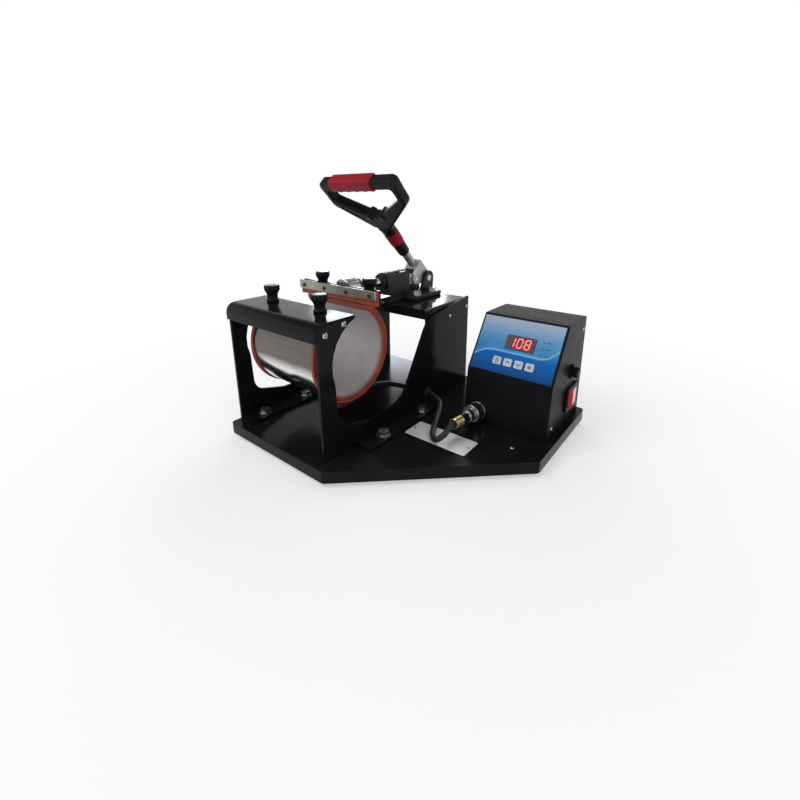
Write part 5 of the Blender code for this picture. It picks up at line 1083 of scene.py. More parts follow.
@dataclass
class Screws:
    """Screw heads of one kind on one body, set out by a node tree.

    Attributes:
        name: the piece's name.
        body: what they ride on.
        kind: the size and drive of the heads.
        places: where each head sits, and the way it faces.
    """

    name: str
    body: str
    kind: ScrewKind
    places: Sequence[tuple[Point, Point]]

    def tree(self) -> bpy.types.NodeTree:
        """Return the tree that sets a head at each point, turned a little by a fixed seed.

        Returns:
            The node tree.
        """
        group = bpy.data.node_groups.new(f"{self.name}_tree", "GeometryNodeTree")
        group.interface.new_socket("Geometry", in_out="INPUT", socket_type="NodeSocketGeometry")
        for label in ("Head Radius", "Head Height", "Recess Width", "Recess Depth", "Shoulder"):
            group.interface.new_socket(label, in_out="INPUT", socket_type="NodeSocketFloat")
        group.interface.new_socket("Geometry", in_out="OUTPUT", socket_type="NodeSocketGeometry")
        graph = Graph(group)
        given = graph.node("NodeGroupInput").outputs
        radius, height = Num(graph, given["Head Radius"]), Num(graph, given["Head Height"])
        shoulder = Num(graph, given["Shoulder"])
        skirt = graph.node(
            "GeometryNodeMeshCone", {},
            {"Vertices": 28, "Radius Top": radius, "Radius Bottom": radius, "Depth": height * 0.45},
        ).outputs[0]
        crown = graph.node(
            "GeometryNodeMeshCone", {},
            {
                "Vertices": 28, "Radius Top": radius * shoulder, "Radius Bottom": radius,
                "Depth": height * 0.55,
            },
        ).outputs[0]
        lift = graph.node("ShaderNodeCombineXYZ", {}, {2: height * 0.45}).outputs[0]
        crown = graph.node("GeometryNodeTransform", {}, {"Geometry": crown, "Translation": lift}).outputs[0]
        head = graph.node("GeometryNodeMeshBoolean", {"operation": "UNION"}, {1: skirt})
        graph.feed(head.inputs[1], crown)
        recess = self._recess(graph, given, radius, height)
        cut = graph.node("GeometryNodeMeshBoolean", {"operation": "DIFFERENCE"}, {0: head.outputs[0]})
        for cutter in recess:
            graph.feed(cut.inputs[1], cutter)
        facing = graph.node(
            "GeometryNodeInputNamedAttribute", {"data_type": "FLOAT_VECTOR"}, {"Name": "facing"}
        ).outputs[0]
        turn = graph.node("FunctionNodeAlignRotationToVector", {"axis": "Z"}, {"Vector": facing}).outputs[0]
        placed = graph.node(
            "GeometryNodeInstanceOnPoints", {},
            {"Points": given["Geometry"], "Instance": cut.outputs[0], "Rotation": turn},
        ).outputs[0]
        chance = graph.node("FunctionNodeRandomValue", {"data_type": "FLOAT"}, {"Seed": 7})
        chance.inputs[2].default_value, chance.inputs[3].default_value = 0.0, 1.5
        spin = graph.node("ShaderNodeCombineXYZ", {}, {2: Num(graph, chance.outputs[1])}).outputs[0]
        turned_heads = {"Instances": placed, "Rotation": spin}
        spun = graph.node("GeometryNodeRotateInstances", {}, turned_heads).outputs[0]
        solid = graph.node("GeometryNodeRealizeInstances", {}, {0: spun}).outputs[0]
        dressed = graph.node(
            "GeometryNodeSetMaterial", {}, {"Geometry": solid, "Material": self.kind.finish.material()}
        ).outputs[0]
        graph.node("NodeGroupOutput", {}, {0: dressed})
        return group

    def _recess(self, graph: Graph, given: object, radius: Num, height: Num) -> list[bpy.types.NodeSocket]:
        """Return the cutters of the recess, a socket, a slot or a cross.

        Args:
            graph: the tree's graph.
            given: the outputs of its group input.
            radius: radius of the head.
            height: height of the head.

        Returns:
            One cutter for each bar of the recess.
        """
        width, depth = Num(graph, given["Recess Width"]), Num(graph, given["Recess Depth"])
        lift = graph.node("ShaderNodeCombineXYZ", {}, {2: height - depth * 0.5}).outputs[0]
        if self.kind.drive is Drive.SOCKET:
            shape = graph.node(
                "GeometryNodeMeshCone", {},
                {"Vertices": 6, "Radius Top": width, "Radius Bottom": width, "Depth": depth * 1.5},
            ).outputs[0]
            raised = {"Geometry": shape, "Translation": lift}
            return [graph.node("GeometryNodeTransform", {}, raised).outputs[0]]
        cutters = []
        reach = radius * (2.4 if self.kind.drive is Drive.SLOT else 1.15)
        for along in (True, False)[: 1 if self.kind.drive is Drive.SLOT else 2]:
            sides = {0: reach if along else width, 1: width if along else reach, 2: depth * 2}
            size = graph.node("ShaderNodeCombineXYZ", {}, sides).outputs[0]
            bar = graph.node("GeometryNodeMeshCube", {}, {"Size": size}).outputs[0]
            high = graph.node("ShaderNodeCombineXYZ", {}, {2: height}).outputs[0]
            cutters.append(
                graph.node("GeometryNodeTransform", {}, {"Geometry": bar, "Translation": high}).outputs[0]
            )
        return cutters

    def build(self) -> bpy.types.Object:
        """Set the heads out and turn them into one plain mesh.

        Returns:
            The piece with all the heads.
        """
        seed = bpy.data.meshes.new(f"{self.name}_points")
        seed.from_pydata([place for place, _ in self.places], [], [])
        facing = seed.attributes.new("facing", "FLOAT_VECTOR", "POINT")
        for entry, (_, way) in zip(facing.data, self.places):
            entry.vector = way
        holder = bpy.data.objects.new(f"{self.name}_holder", seed)
        bpy.context.scene.collection.objects.link(holder)
        modifier = holder.modifiers.new("heads", "NODES")
        modifier.node_group = self.tree()
        kind = self.kind
        sizes = {
            "Head Radius": kind.radius, "Head Height": kind.height, "Recess Width": kind.radius * 0.26,
            "Recess Depth": kind.height * 0.5, "Shoulder": 0.72,
        }
        if kind.drive is Drive.SOCKET:
            sizes["Recess Width"], sizes["Shoulder"] = kind.radius * 0.52, 0.9
        for item in modifier.node_group.interface.items_tree:
            if item.in_out == "INPUT" and item.name in sizes:
                modifier[item.identifier] = sizes[item.name]
        evaluated = holder.evaluated_get(bpy.context.evaluated_depsgraph_get())
        mesh = bpy.data.meshes.new_from_object(evaluated)
        holder.modifiers.remove(modifier)
        bpy.data.objects.remove(holder)
        return settle(add_piece(self.name, tidied(mesh, 30.0, outward=False), kind.finish), self.body)


SHEET_SCREW = ScrewKind(2.9 * MM, 1.5 * MM, Drive.CROSS, STEEL)
SMALL_SCREW = ScrewKind(2.2 * MM, 1.1 * MM, Drive.CROSS, STEEL)
BLACK_SCREW = ScrewKind(2.1 * MM, 1.2 * MM, Drive.CROSS, DARK_STEEL)
SOCKET_SCREW = ScrewKind(2.6 * MM, 1.6 * MM, Drive.SOCKET, DARK_STEEL)
RIVET = ScrewKind(1.3 * MM, 0.5 * MM, Drive.SLOT, STEEL)


# Sub-assemblies


@dataclass
class Base:
    """The cut-cornered base on its rubber feet, and the bare plate on it.

    Attributes:
        top: height of the base's upper face.
        plate_middle: middle of the bare plate, seen from above.
        plate_half: half of its width and depth.
        plate_thickness: its thickness.
    """

    top: float = 16.0 * MM
    plate_middle: Flat = (50.5 * MM, -20.5 * MM)
    plate_half: Flat = (35.0 * MM, 14.0 * MM)
    plate_thickness: float = 0.4 * MM

    def build(self) -> None:
        """Make the bare plate and its two rivets."""
        place = Matrix.Translation((*self.plate_middle, self.top))
        outline = rounded_box(self.plate_half, 2.0 * MM)
        mesh = slab("bare_plate", outline, 0.02 * MM, self.plate_thickness, place, 0.12 * MM)
        settle(add_piece("bare_plate", mesh, BARE_PLATE), "frame")
        reach = self.plate_half[0] - 3.2 * MM
        ends = [place @ Vector((side * reach, 0, self.plate_thickness)) for side in (-1, 1)]
        Screws("plate_rivets", "frame", RIVET, [(tuple(end), (0, 0, 1)) for end in ends]).build()

    def dress(self) -> None:
        """Give the base, the feet and the bolts on it their finishes."""
        refine("base_plate", GLOSS_BLACK)
        for name in ("front_left", "front_right", "rear_left", "rear_right"):
            refine(f"foot_{name}", FOOT_RUBBER)
        for name in ("left_front", "left_rear", "right_front", "right_rear"):
            refine(f"plate_bolt_{name}", STEEL)
        Screws("base_screws", "frame", SMALL_SCREW, [((115 * MM, 6 * MM, self.top), (0, 0, 1))]).build()


@dataclass
class Bracket:
    """The two side plates, the front cover and the plate that carries the clamp.

    Attributes:
        right_face: x of the right plate's outer face.
        left_face: x of the left plate's outer face.
        front_screws: y and z of the screws near the cover.
        rear_screws: y and z of the screws near the clamp's plate.
        cable_hole: x, y and z of the middle of the lead's hole.
        sheet: thickness of the side plates.
        grommet: inner, groove and flange radius of the grommet.
    """

    right_face: float = -9.0 * MM
    left_face: float = -144.0 * MM
    front_screws: tuple[Flat, ...] = ((-111.0 * MM, 134.0 * MM), (-89.0 * MM, 139.3 * MM))
    rear_screws: tuple[Flat, ...] = ((85.0 * MM, 110.0 * MM), (123.0 * MM, 115.0 * MM))
    cable_hole: Point = (-10.25 * MM, 40.0 * MM, 26.0 * MM)
    sheet: float = 2.5 * MM
    grommet: Point = (3.15 * MM, 3.7 * MM, 5.6 * MM)

    def build(self) -> None:
        """Make the grommet of the lead's hole and the screws in both plates."""
        inner, groove, flange = self.grommet
        half, lip = self.sheet / 2 + 0.05 * MM, 1.1 * MM
        profile = [
            (inner, -half - lip), (flange - 0.5 * MM, -half - lip), (flange, -half - lip / 2),
            (flange, -half), (groove, -half), (groove, half), (flange, half), (flange, half + lip / 2),
            (flange - 0.5 * MM, half + lip), (inner, half + lip),
        ]
        place = Matrix.Translation(self.cable_hole) @ Matrix.Rotation(math.pi / 2, 4, "Y")
        settle(add_piece("lead_grommet", turned("lead_grommet", profile, place), FOOT_RUBBER), "frame")
        for face, way, label in ((self.right_face, 1, "right"), (self.left_face, -1, "left")):
            front = [((face, y, z), (way, 0, 0)) for y, z in self.front_screws]
            rear = [((face, y, z), (way, 0, 0)) for y, z in self.rear_screws]
            Screws(f"cover_screws_{label}", "frame", SHEET_SCREW, front).build()
            Screws(f"bracket_screws_{label}", "frame", SMALL_SCREW, rear).build()

    def dress(self) -> None:
        """Paint the sheet metal."""
        for node in ("side_plate_left", "side_plate_right", "front_cover", "rear_top_plate"):
            refine(node, GLOSS_BLACK)


@dataclass
class Wrap:
    """The heated wrap: a rubber mat with a pale lining, a polished shell round it and two red rims.

    Attributes:
        middle: x of the wrap's middle.
        axis: y and z of its axis.
        radius: radius of the lining.
        outer: outer radius of the rims.
        width: length along the mug.
        rim: width of one rim.
        hook: inner radius of the bend under the front strip.
        bend: inner radius of the bend at the rear strip.
        tail: length of the straight front tail.
        tail_height: height of the lining's tail.
        rear_face: y that the rear end lies against.
        step: angle between stations, in degrees.
        entry: where the lead enters the terminal cover.
    """

    middle: float = -76.5 * MM
    axis: Flat = (-60.0 * MM, 100.0 * MM)
    radius: float = 45.0 * MM
    outer: float = 50.5 * MM
    width: float = 98.0 * MM
    rim: float = 4.0 * MM
    hook: float = 2.0 * MM
    bend: float = 6.0 * MM
    tail: float = 10.0 * MM
    tail_height: float = 139.4 * MM
    rear_face: float = -33.7 * MM
    step: float = 2.5
    entry: Point = (-54.0 * MM, -48.0 * MM, 44.4 * MM)

    def swept(self, centre: Flat, radius: float, start: float, end: float) -> list[Flat]:
        """Return points on an arc in the plane of y and z.

        Args:
            centre: the arc's middle.
            radius: its radius.
            start: its first angle, in radians.
            end: its last angle.

        Returns:
            The points in order.
        """
        count = max(2, math.ceil(abs(end - start) / math.radians(self.step)))
        angles = [start + (end - start) * index / count for index in range(count + 1)]
        return [(centre[0] + radius * math.cos(a), centre[1] + radius * math.sin(a)) for a in angles]

    def path(self, radius: float) -> list[Flat]:
        """Return y and z along one surface of the wrap, from the front tail to the rear bend.

        Args:
            radius: the surface's radius round the mug.

        Returns:
            The points in order.
        """
        outside, full = self.outer - radius, self.outer - self.radius
        hook_reach = self.outer + self.hook
        hook_z = self.tail_height - self.axis[1] - self.hook - full
        hook_angle = math.pi - math.asin(hook_z / hook_reach)
        hook = (self.axis[0] + hook_reach * math.cos(hook_angle), self.axis[1] + hook_z)
        bend_reach = self.outer + self.bend
        bend_y = self.rear_face + self.bend + full - self.axis[0]
        bend_angle = math.acos(bend_y / bend_reach)
        bend = (self.axis[0] + bend_y, self.axis[1] + bend_reach * math.sin(bend_angle))
        points = [(hook[0] - self.tail, hook[1] + self.hook + outside)]
        points += [(hook[0] - self.tail / 2, hook[1] + self.hook + outside)]
        points += self.swept(hook, self.hook + outside, math.pi / 2, hook_angle - math.pi)
        points += self.swept(self.axis, radius, hook_angle, 2 * math.pi + bend_angle)[1:]
        points += self.swept(bend, self.bend + outside, math.pi + bend_angle, math.pi)[1:]
        return points

    def layer(self, name: str, inner: float, outer: float, left: float, right: float, round_off: float,
              finish: Finish) -> bpy.types.Object:
        """Make one layer of the wrap as a closed band with rounded edges.

        Args:
            name: the piece's name.
            inner: radius of its inner surface.
            outer: radius of its outer surface.
            left: x of its left edge.
            right: x of its right edge.
            round_off: radius of its edges.
            finish: what it is made of.

        Returns:
            The piece, not yet on a body.
        """
        thickness = outer - inner
        half = ((right - left) / 2, thickness / 2)
        section = rounded_box(half, min(round_off, 0.48 * thickness), 4)
        dense = []
        for (x, t), (next_x, next_t) in zip(section, section[1:] + section[:1]):
            count = max(1, round(abs(next_x - x) / (6 * MM)))
            for index in range(count):
                share = index / count
                dense.append((x + (next_x - x) * share, t + (next_t - t) * share))
        rings = []
        for near, far in zip(self.path(inner), self.path(outer)):
            ring = []
            for x, t in dense:
                share = t / thickness + 0.5
                y = near[0] + (far[0] - near[0]) * share
                z = near[1] + (far[1] - near[1]) * share
                ring.append(Vector(((left + right) / 2 + x, y, z)))
            rings.append(ring)
        mesh = loft(name, rings)
        self.mark_inside(mesh, inner + 0.35 * MM, (left + right) / 2, half[0] - 2.6 * MM)
        return add_piece(name, mesh, finish)

    def mark_inside(self, mesh: bpy.types.Mesh, limit: float, middle: float, half: float) -> None:
        """Store which points lie on the lining, away from its edges.

        Args:
            mesh: the layer's mesh.
            limit: distance from the axis that the lining lies within.
            middle: x of the layer's middle.
            half: how far the lining reaches from there.
        """
        inside = mesh.attributes.new("inside", "FLOAT", "POINT")
        for vertex, entry in zip(mesh.vertices, inside.data):
            reach = math.hypot(vertex.co.y - self.axis[0], vertex.co.z - self.axis[1])
            entry.value = float(reach < limit and abs(vertex.co.x - middle) < half)

    def build(self) -> None:
        """Make the mat, the shell and both rims in the place of the heater's nodes."""
        left, right = self.middle - self.width / 2, self.middle + self.width / 2
        shell_in = self.radius + 3.3 * MM
        inset = self.rim + 0.3 * MM
        made = {
            "heater_mat": self.layer(
                "wrap_mat", self.radius, self.radius + 3.0 * MM, left, right, 1.2 * MM, WRAP_RUBBER
            ),
            "heater_shell": self.layer(
                "wrap_shell", shell_in, shell_in + 0.8 * MM, left + inset, right - inset, 0.3 * MM,
                SHEET_STEEL,
            ),
            "heater_edge_left": self.layer(
                "wrap_rim_left", shell_in, self.outer, left, left + self.rim, 0.9 * MM, RIM_RUBBER
            ),
            "heater_edge_right": self.layer(
                "wrap_rim_right", shell_in, self.outer, right - self.rim, right, 0.9 * MM, RIM_RUBBER
            ),
        }
        for node, piece in made.items():
            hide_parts(node)
            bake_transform(piece)
            LOG.info("made %s between frame and clamp", piece.name)

    def dress(self) -> None:
        """Mould the terminal cover; the wrap's layers have their finishes from the start."""
        self.terminal()

    def terminal(self) -> None:
        """Mould the rubber cover of the heater's terminals against the shell, with a hole for the lead."""
        low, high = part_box("terminal_cover")
        seat, soft, corner = self.radius + 4.4 * MM, 1.6 * MM, 3.0 * MM
        along, across, turns = 16, 14, 5
        rings = []
        for step in range(-along, along + 1):
            share = abs(step) / along
            inset = soft * (1 - math.sqrt(max(0.0, 1 - share ** 8)))
            x = (low.x + high.x) / 2 + math.sin(math.pi / 2 * step / along) * (high.x - low.x) / 2
            half = (high.y - low.y) / 2 - inset
            floor = low.z + inset
            ring = []
            for index in range(across + 1):
                y = half * (1 - 2 * index / across)
                rise = self.axis[1] - math.sqrt(seat**2 - y**2)
                ring.append(Vector((x, self.axis[0] + y, rise - inset - 1.0 * MM * abs(y / half) ** 10)))
            for side in (-1, 1):
                for index in range(turns + 1):
                    angle = math.pi / 2 * index / turns
                    flat, steep = math.cos(angle), math.sin(angle)
                    turn = (flat, steep) if side < 0 else (steep, flat)
                    y = side * (half - corner + corner * turn[0])
                    ring.append(Vector((x, self.axis[0] + y, floor + corner * (1 - turn[1]))))
            rings.append(ring)
        place = Matrix.Translation(self.entry) @ Matrix.Rotation(math.pi / 2, 4, "X")
        bore, deep = 3.3 * MM, 4 * MM
        hole = turned("entry", [(0.0, -deep), (bore, -deep), (bore, deep), (0.0, deep)], place, 24)
        mesh = tidied(combined(loft("terminal_pad", rings), [hole], "DIFFERENCE"))
        settle(evenly_shaded(add_piece("terminal_pad", mesh, TERMINAL_RUBBER)), "frame", "terminal_cover")


@dataclass
class Strips:
    """The strips that hold the wrap's ends, the soft flap and the four knobs.

    Attributes:
        middle: x of the press's middle.
        strip_face: y of the rear strip's front face.
        screw_height: height of the black screws on it.
        screw_offsets: their distances from the middle.
        knob_offset: distance of a knob from the middle.
        knob_rows: y and foot height of each row of knobs, with the body's name.
    """

    middle: float = -76.5 * MM
    strip_face: float = -36.5 * MM
    screw_height: float = 152.7 * MM
    screw_offsets: tuple[float, ...] = (-49.5 * MM, -16.5 * MM, 16.5 * MM, 49.5 * MM)
    knob_offset: float = 36.0 * MM
    knob_rows: tuple[tuple[str, float, float], ...] = (
        ("front", -88.0 * MM, 145.3 * MM), ("rear", -20.7 * MM, 150.3 * MM),
    )

    def flap(self) -> None:
        """Make the red flap behind the strip, with soft edges and a slight wave."""
        low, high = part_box("clamp_flap")
        rings = []
        for index in range(61):
            share = index / 60
            x = low.x + (high.x - low.x) * share
            wave = 0.12 * MM * math.sin(share * 23.0) + 0.10 * MM * math.sin(share * 11.0 + 1.0)
            half = ((high.y - low.y) / 2, (high.z - low.z) / 2 - 0.15 * MM)
            centre = ((low.y + high.y) / 2, (low.z + high.z) / 2 + wave)
            rings.append([Vector((x, y, z)) for y, z in rounded_box(half, 1.0 * MM, 4, centre)])
        settle(add_piece("strip_flap", loft("strip_flap", rings), RIM_RUBBER), "clamp", "clamp_flap")

    def knob(self, row: str, side: str, x: float, y: float, foot: float) -> None:
        """Make one fluted knob with its stud, and the cap in its top.

        Args:
            row: front or rear.
            side: left or right.
            x: where it stands.
            y: where it stands.
            foot: height of its foot.
        """
        node = f"{row}_knob_{side}"
        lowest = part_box(node)[0].z
        stud, tall = 2.4 * MM, 17.0 * MM
        profile = [
            (0.0, lowest - foot), (stud - 0.4 * MM, lowest - foot), (stud, lowest - foot + 0.4 * MM),
            (stud, 0.0), (6.0 * MM, 0.0), (6.3 * MM, 0.4 * MM), (6.3 * MM, 1.9 * MM), (5.9 * MM, 2.4 * MM),
            (5.3 * MM, 3.0 * MM), (5.15 * MM, 5.0 * MM), (5.4 * MM, 7.5 * MM), (6.3 * MM, 9.6 * MM),
            (7.3 * MM, 11.2 * MM),
            (7.65 * MM, 12.4 * MM), (7.7 * MM, 13.4 * MM), (7.7 * MM, 15.8 * MM), (7.5 * MM, 16.4 * MM),
            (7.1 * MM, 16.75 * MM), (6.8 * MM, 16.75 * MM), (6.7 * MM, 16.3 * MM), (0.0, 16.3 * MM),
        ]

        def flute(radius: float, height: float, angle: float) -> float:
            """Return the radius with the flutes of the rim cut in.

            Args:
                radius: the profile's radius.
                height: its height.
                angle: the angle round the knob.

            Returns:
                The radius at that angle.
            """
            if radius < 7.0 * MM or height < 11.0 * MM:
                return radius
            return radius - 0.75 * MM * max(0.0, math.cos(12 * angle)) ** 3

        place = Matrix.Translation((x, y, foot))
        body = body_of(node)
        mesh = turned(node, profile, place, 144, flute)
        settle(add_piece(f"knob_{row}_{side}", mesh, BLACK_PLASTIC), body, node)
        # The cap is coloured as a painted highlight on the knob's top.
        cap = [(0.0, 16.2 * MM), (6.6 * MM, 16.2 * MM), (6.6 * MM, 16.65 * MM), (6.2 * MM, 16.9 * MM),
               (3.0 * MM, tall), (0.0, tall)]
        name = f"knob_cap_{row}_{side}"
        settle(add_piece(name, turned(name, cap, place), KNOB_CAP_HIGHLIGHT), body)

    def build(self) -> None:
        """Make the flap, the knobs and the screws of the rear strip."""
        self.flap()
        for row, y, foot in self.knob_rows:
            for side, sign in (("left", -1), ("right", 1)):
                self.knob(row, side, self.middle + sign * self.knob_offset, y, foot)
        places = [
            ((self.middle + x, self.strip_face, self.screw_height), (0, -1, 0)) for x in self.screw_offsets
        ]
        Screws("strip_screws", "clamp", BLACK_SCREW, places).build()

    def dress(self) -> None:
        """Give the strips and the rear holder their finishes."""
        refine("rear_strip", CHAMPAGNE)
        refine("front_strip", STEEL)
        refine("rear_holder", GLOSS_BLACK)


@dataclass
class Clamp:
    """The push-pull clamp: yoke, rod, nut, cast body, link and the bolts in its foot."""

    finishes: dict[str, Finish] = field(
        default_factory=lambda: {
            "plunger_yoke": STEEL,
            "plunger_rod": ROD,
            "plunger_pin": STEEL,
            "lock_nut": DARK_STEEL,
            "clamp_casting": CAST_BLACK,
            "toggle_link": ZINC,
            "pivot_pin": STEEL,
            "clamp_bolt_front_left": STEEL,
            "clamp_bolt_front_right": STEEL,
            "clamp_bolt_rear_left": STEEL,
            "clamp_bolt_rear_right": STEEL,
        }
    )

    def build(self) -> None:
        """Make the rod's collar, a turned ring that is seen in front of the barrel."""
        y, z = 34.0 * MM, 151.0 * MM
        place = Matrix.Translation((-76.5 * MM, y, z)) @ Matrix.Rotation(-math.pi / 2, 4, "X")
        profile = [(5.05 * MM, 0.0), (8.2 * MM, 0.0), (9.0 * MM, 0.8 * MM), (9.2 * MM, 3.0 * MM),
                   (5.05 * MM, 3.0 * MM)]
        settle(add_piece("barrel_collar", turned("barrel_collar", profile, place), CAST_BLACK), "frame")

    def dress(self) -> None:
        """Give every metal piece of the clamp its finish."""
        for node, finish in self.finishes.items():
            refine(node, finish)


def rounded_path(corners: Sequence[Corner], arc: int = 8, between: int = 4) -> list[Vector]:
    """Round the corners of a closed line, with the same number of points at each.

    Args:
        corners: x, height and radius of each corner.
        arc: steps round one corner.
        between: steps along one straight stretch.

    Returns:
        The points of the line, in order.
    """
    turns = []
    for index, (x, z, radius) in enumerate(corners):
        corner = Vector((x, z))
        back = (Vector(corners[index - 1][:2]) - corner).normalized()
        ahead = (Vector(corners[(index + 1) % len(corners)][:2]) - corner).normalized()
        opening = back.angle(ahead)
        centre = corner + (back + ahead).normalized() * (radius / math.sin(opening / 2))
        reach = radius / math.tan(opening / 2)
        first, last = corner + back * reach - centre, corner + ahead * reach - centre
        sweep = math.pi - opening
        turns.append(
            [
                centre + (first * math.sin(sweep * (1 - step / arc)) + last * math.sin(sweep * step / arc))
                / math.sin(sweep)
                for step in range(arc + 1)
            ]
        )
    line = []
    for here, there in zip(turns, turns[1:] + turns[:1]):
        line += here
        line += [here[-1].lerp(there[0], step / between) for step in range(1, between)]
    return line


@dataclass
class Handle:
    """The D-shaped handle with its red grip, ribbed band, lever and pins.

    Attributes:
        pivot: the middle of the pivot pin.
        lean: how far the handle leans forward at rest, in radians.
        half_depth: half of the frame's depth.
        edge: radius of the frame's edges.
        outline: corners of the frame's outer line.
        window: corners of its window, in the same order.
        neck: height of the neck's foot and of its top.
        neck_radius: its radius at both.
        bore: radius and top of the hole for the shaft.
        shaft: radius of the shaft in the part and here.
        band: heights that the red band covers.
        groove: how deep the band is let in.
        boss: distance from the middle, height, radius and rise of the two bosses in the window.
        recess: middle, half length, half width, depth and turn of the plain recess in the left arm.
        grip_ends: the grip's ends, from the middle.
        grip_centre: height of the bar's middle.
        grip_half: half of the grip's depth and height.
        fingers: how many finger hollows it has.
        hollow: how deep they are.
    """

    pivot: Point = (-76.5 * MM, 118.0 * MM, 146.0 * MM)
    lean: float = math.radians(45)
    half_depth: float = 6.4 * MM
    edge: float = 2.9 * MM
    outline: tuple[Corner, ...] = (
        (54.0 * MM, 169.7 * MM, 5.5 * MM), (-54.0 * MM, 169.7 * MM, 5.5 * MM),
        (-54.0 * MM, 136.0 * MM, 9.0 * MM), (-11.5 * MM, 99.5 * MM, 4.0 * MM),
        (11.5 * MM, 99.5 * MM, 4.0 * MM), (54.0 * MM, 136.0 * MM, 9.0 * MM),
    )
    window: tuple[Corner, ...] = (
        (46.3 * MM, 157.8 * MM, 3.5 * MM), (-46.3 * MM, 157.8 * MM, 3.5 * MM),
        (-46.3 * MM, 143.0 * MM, 4.0 * MM), (-8.0 * MM, 120.0 * MM, 4.0 * MM),
        (8.0 * MM, 120.0 * MM, 4.0 * MM), (46.3 * MM, 143.0 * MM, 4.0 * MM),
    )
    neck: Flat = (51.0 * MM, 94.0 * MM)
    neck_radius: Flat = (7.2 * MM, 8.6 * MM)
    bore: Flat = (5.3 * MM, 81.0 * MM)
    shaft: Flat = (5.8 * MM, 5.2 * MM)
    band: Flat = (70.0 * MM, 87.5 * MM)
    groove: float = 0.9 * MM
    boss: tuple[float, float, float, float] = (9.6 * MM, 117.6 * MM, 5.0 * MM, 0.8 * MM)
    recess: tuple[float, ...] = (-33.0 * MM, 126.9 * MM, 11.5 * MM, 2.6 * MM, 0.6 * MM, math.radians(-35))
    grip_ends: Flat = (-36.5 * MM, 24.5 * MM)
    grip_centre: float = 163.7 * MM
    grip_half: Flat = (7.9 * MM, 7.7 * MM)
    fingers: int = 5
    hollow: float = 1.0 * MM

    def place(self) -> Matrix:
        """Return the handle's own frame: its Z runs up the shaft."""
        return Matrix.Translation(self.pivot) @ Matrix.Rotation(self.lean, 4, "X")

    def facing(self, x: float, height: float) -> Matrix:
        """Return a place on the frame's front face whose Z points out of it.

        Args:
            x: distance from the middle.
            height: height above the pivot.

        Returns:
            The place.
        """
        spot = Matrix.Translation((x, -self.half_depth, height))
        return self.place() @ spot @ Matrix.Rotation(math.pi / 2, 4, "X")

    def frame(self) -> bpy.types.Mesh:
        """Return the D, lofted between its outer line and its window.

        Returns:
            A closed mesh.
        """
        place, rings = self.place(), []
        for outer, inner in zip(rounded_path(self.outline), rounded_path(self.window)):
            middle, across = (outer + inner) / 2, (outer - inner).normalized()
            half = ((outer - inner).length / 2, self.half_depth)
            rings.append(
                [
                    place @ Vector((middle.x + across.x * reach, depth, middle.y + across.y * reach))
                    for reach, depth in rounded_box(half, self.edge)
                ]
            )
        return loft("handle_frame", rings, closed=True)

    def neck_at(self, height: float) -> float:
        """Return the neck's radius at a height.

        Args:
            height: height above the pivot.

        Returns:
            The radius.
        """
        low, high = self.neck
        share = (height - low) / (high - low)
        return self.neck_radius[0] + (self.neck_radius[1] - self.neck_radius[0]) * share

    def stem(self) -> bpy.types.Mesh:
        """Return the neck: round, grooved for the band, bored for the shaft and spread out into the frame.

        Returns:
            A closed mesh.
        """
        place, (foot, top), (bore, bore_top) = self.place(), self.neck, self.bore
        low, high = self.band
        spread = [
            (104.0, 10.8, 5.8, 2.6), (100.0, 10.8, 6.0, 2.9), (98.6, 10.3, 6.5, 3.6), (97.0, 9.6, 7.4, 5.4),
            (95.4, 8.9, 8.3, 7.8),
        ]
        levels = [tuple(part * MM for part in level) for level in spread]
        round_levels = [
            (top, self.neck_at(top)), (high, self.neck_at(high)), (high, self.neck_at(high) - self.groove),
            (low, self.neck_at(low) - self.groove), (low, self.neck_at(low)),
            (foot + 1.2 * MM, self.neck_at(foot)), (foot + 0.4 * MM, self.neck_at(foot) - 0.3 * MM),
            (foot, self.neck_at(foot) - 1.0 * MM), (foot, bore), (bore_top, bore),
        ]
        levels += [(height, radius, radius, 0.985 * radius) for height, radius in round_levels]
        rings = [
            [place @ Vector((x, y, height)) for x, y in rounded_box((half_x, half_y), radius, 7)]
            for height, half_x, half_y, radius in levels
        ]
        return loft("handle_stem", rings)

    def body(self) -> None:
        """Mould frame, neck and bosses into one piece, with the plain recess in its left arm."""
        offset, height, radius, rise = self.boss
        foot, soft = -2 * self.half_depth - rise, 0.4 * MM
        profile = [(0.0, foot), (radius - soft, foot), (radius, foot + soft), (radius, rise - soft),
                   (radius - soft, rise), (0.0, rise)]
        bosses = [turned("boss", profile, self.facing(side * offset, height), 36) for side in (-1, 1)]
        x, z, half_length, half_width, depth, turn = self.recess
        spot = self.facing(x, z) @ Matrix.Rotation(turn, 4, "Z")
        mouth = rounded_box((half_length, half_width), 1.6 * MM)
        cutter = slab("recess", mouth, -depth, 2.0 * MM, spot, 0.01 * MM)
        mesh = combined(combined(self.frame(), [self.stem(), *bosses], "UNION"), [cutter], "DIFFERENCE")
        piece = evenly_shaded(add_piece("handle_frame", tidied(mesh), BLACK_PLASTIC))
        settle(piece, "handle", "handle_body")

    def ring(self) -> None:
        """Turn the red band, with fine ribs round it."""
        low, high = self.band[0] + 0.15 * MM, self.band[1] - 0.15 * MM
        ribs, inside = 9, self.groove - 0.1 * MM
        profile = [(self.neck_at(high) - inside, high), (self.neck_at(low) - inside, low)]
        for index in range(ribs * 6 + 1):
            height = low + (high - low) * index / (ribs * 6)
            rib = 0.5 - 0.5 * math.cos(math.pi * index / 3)
            profile.append((self.neck_at(height) + 0.15 * MM + 0.45 * MM * rib ** 0.5, height))
        mesh = turned("band_ring", profile, self.place(), 64)
        settle(add_piece("band_ring", mesh, GRIP_RED), "handle", "handle_band")

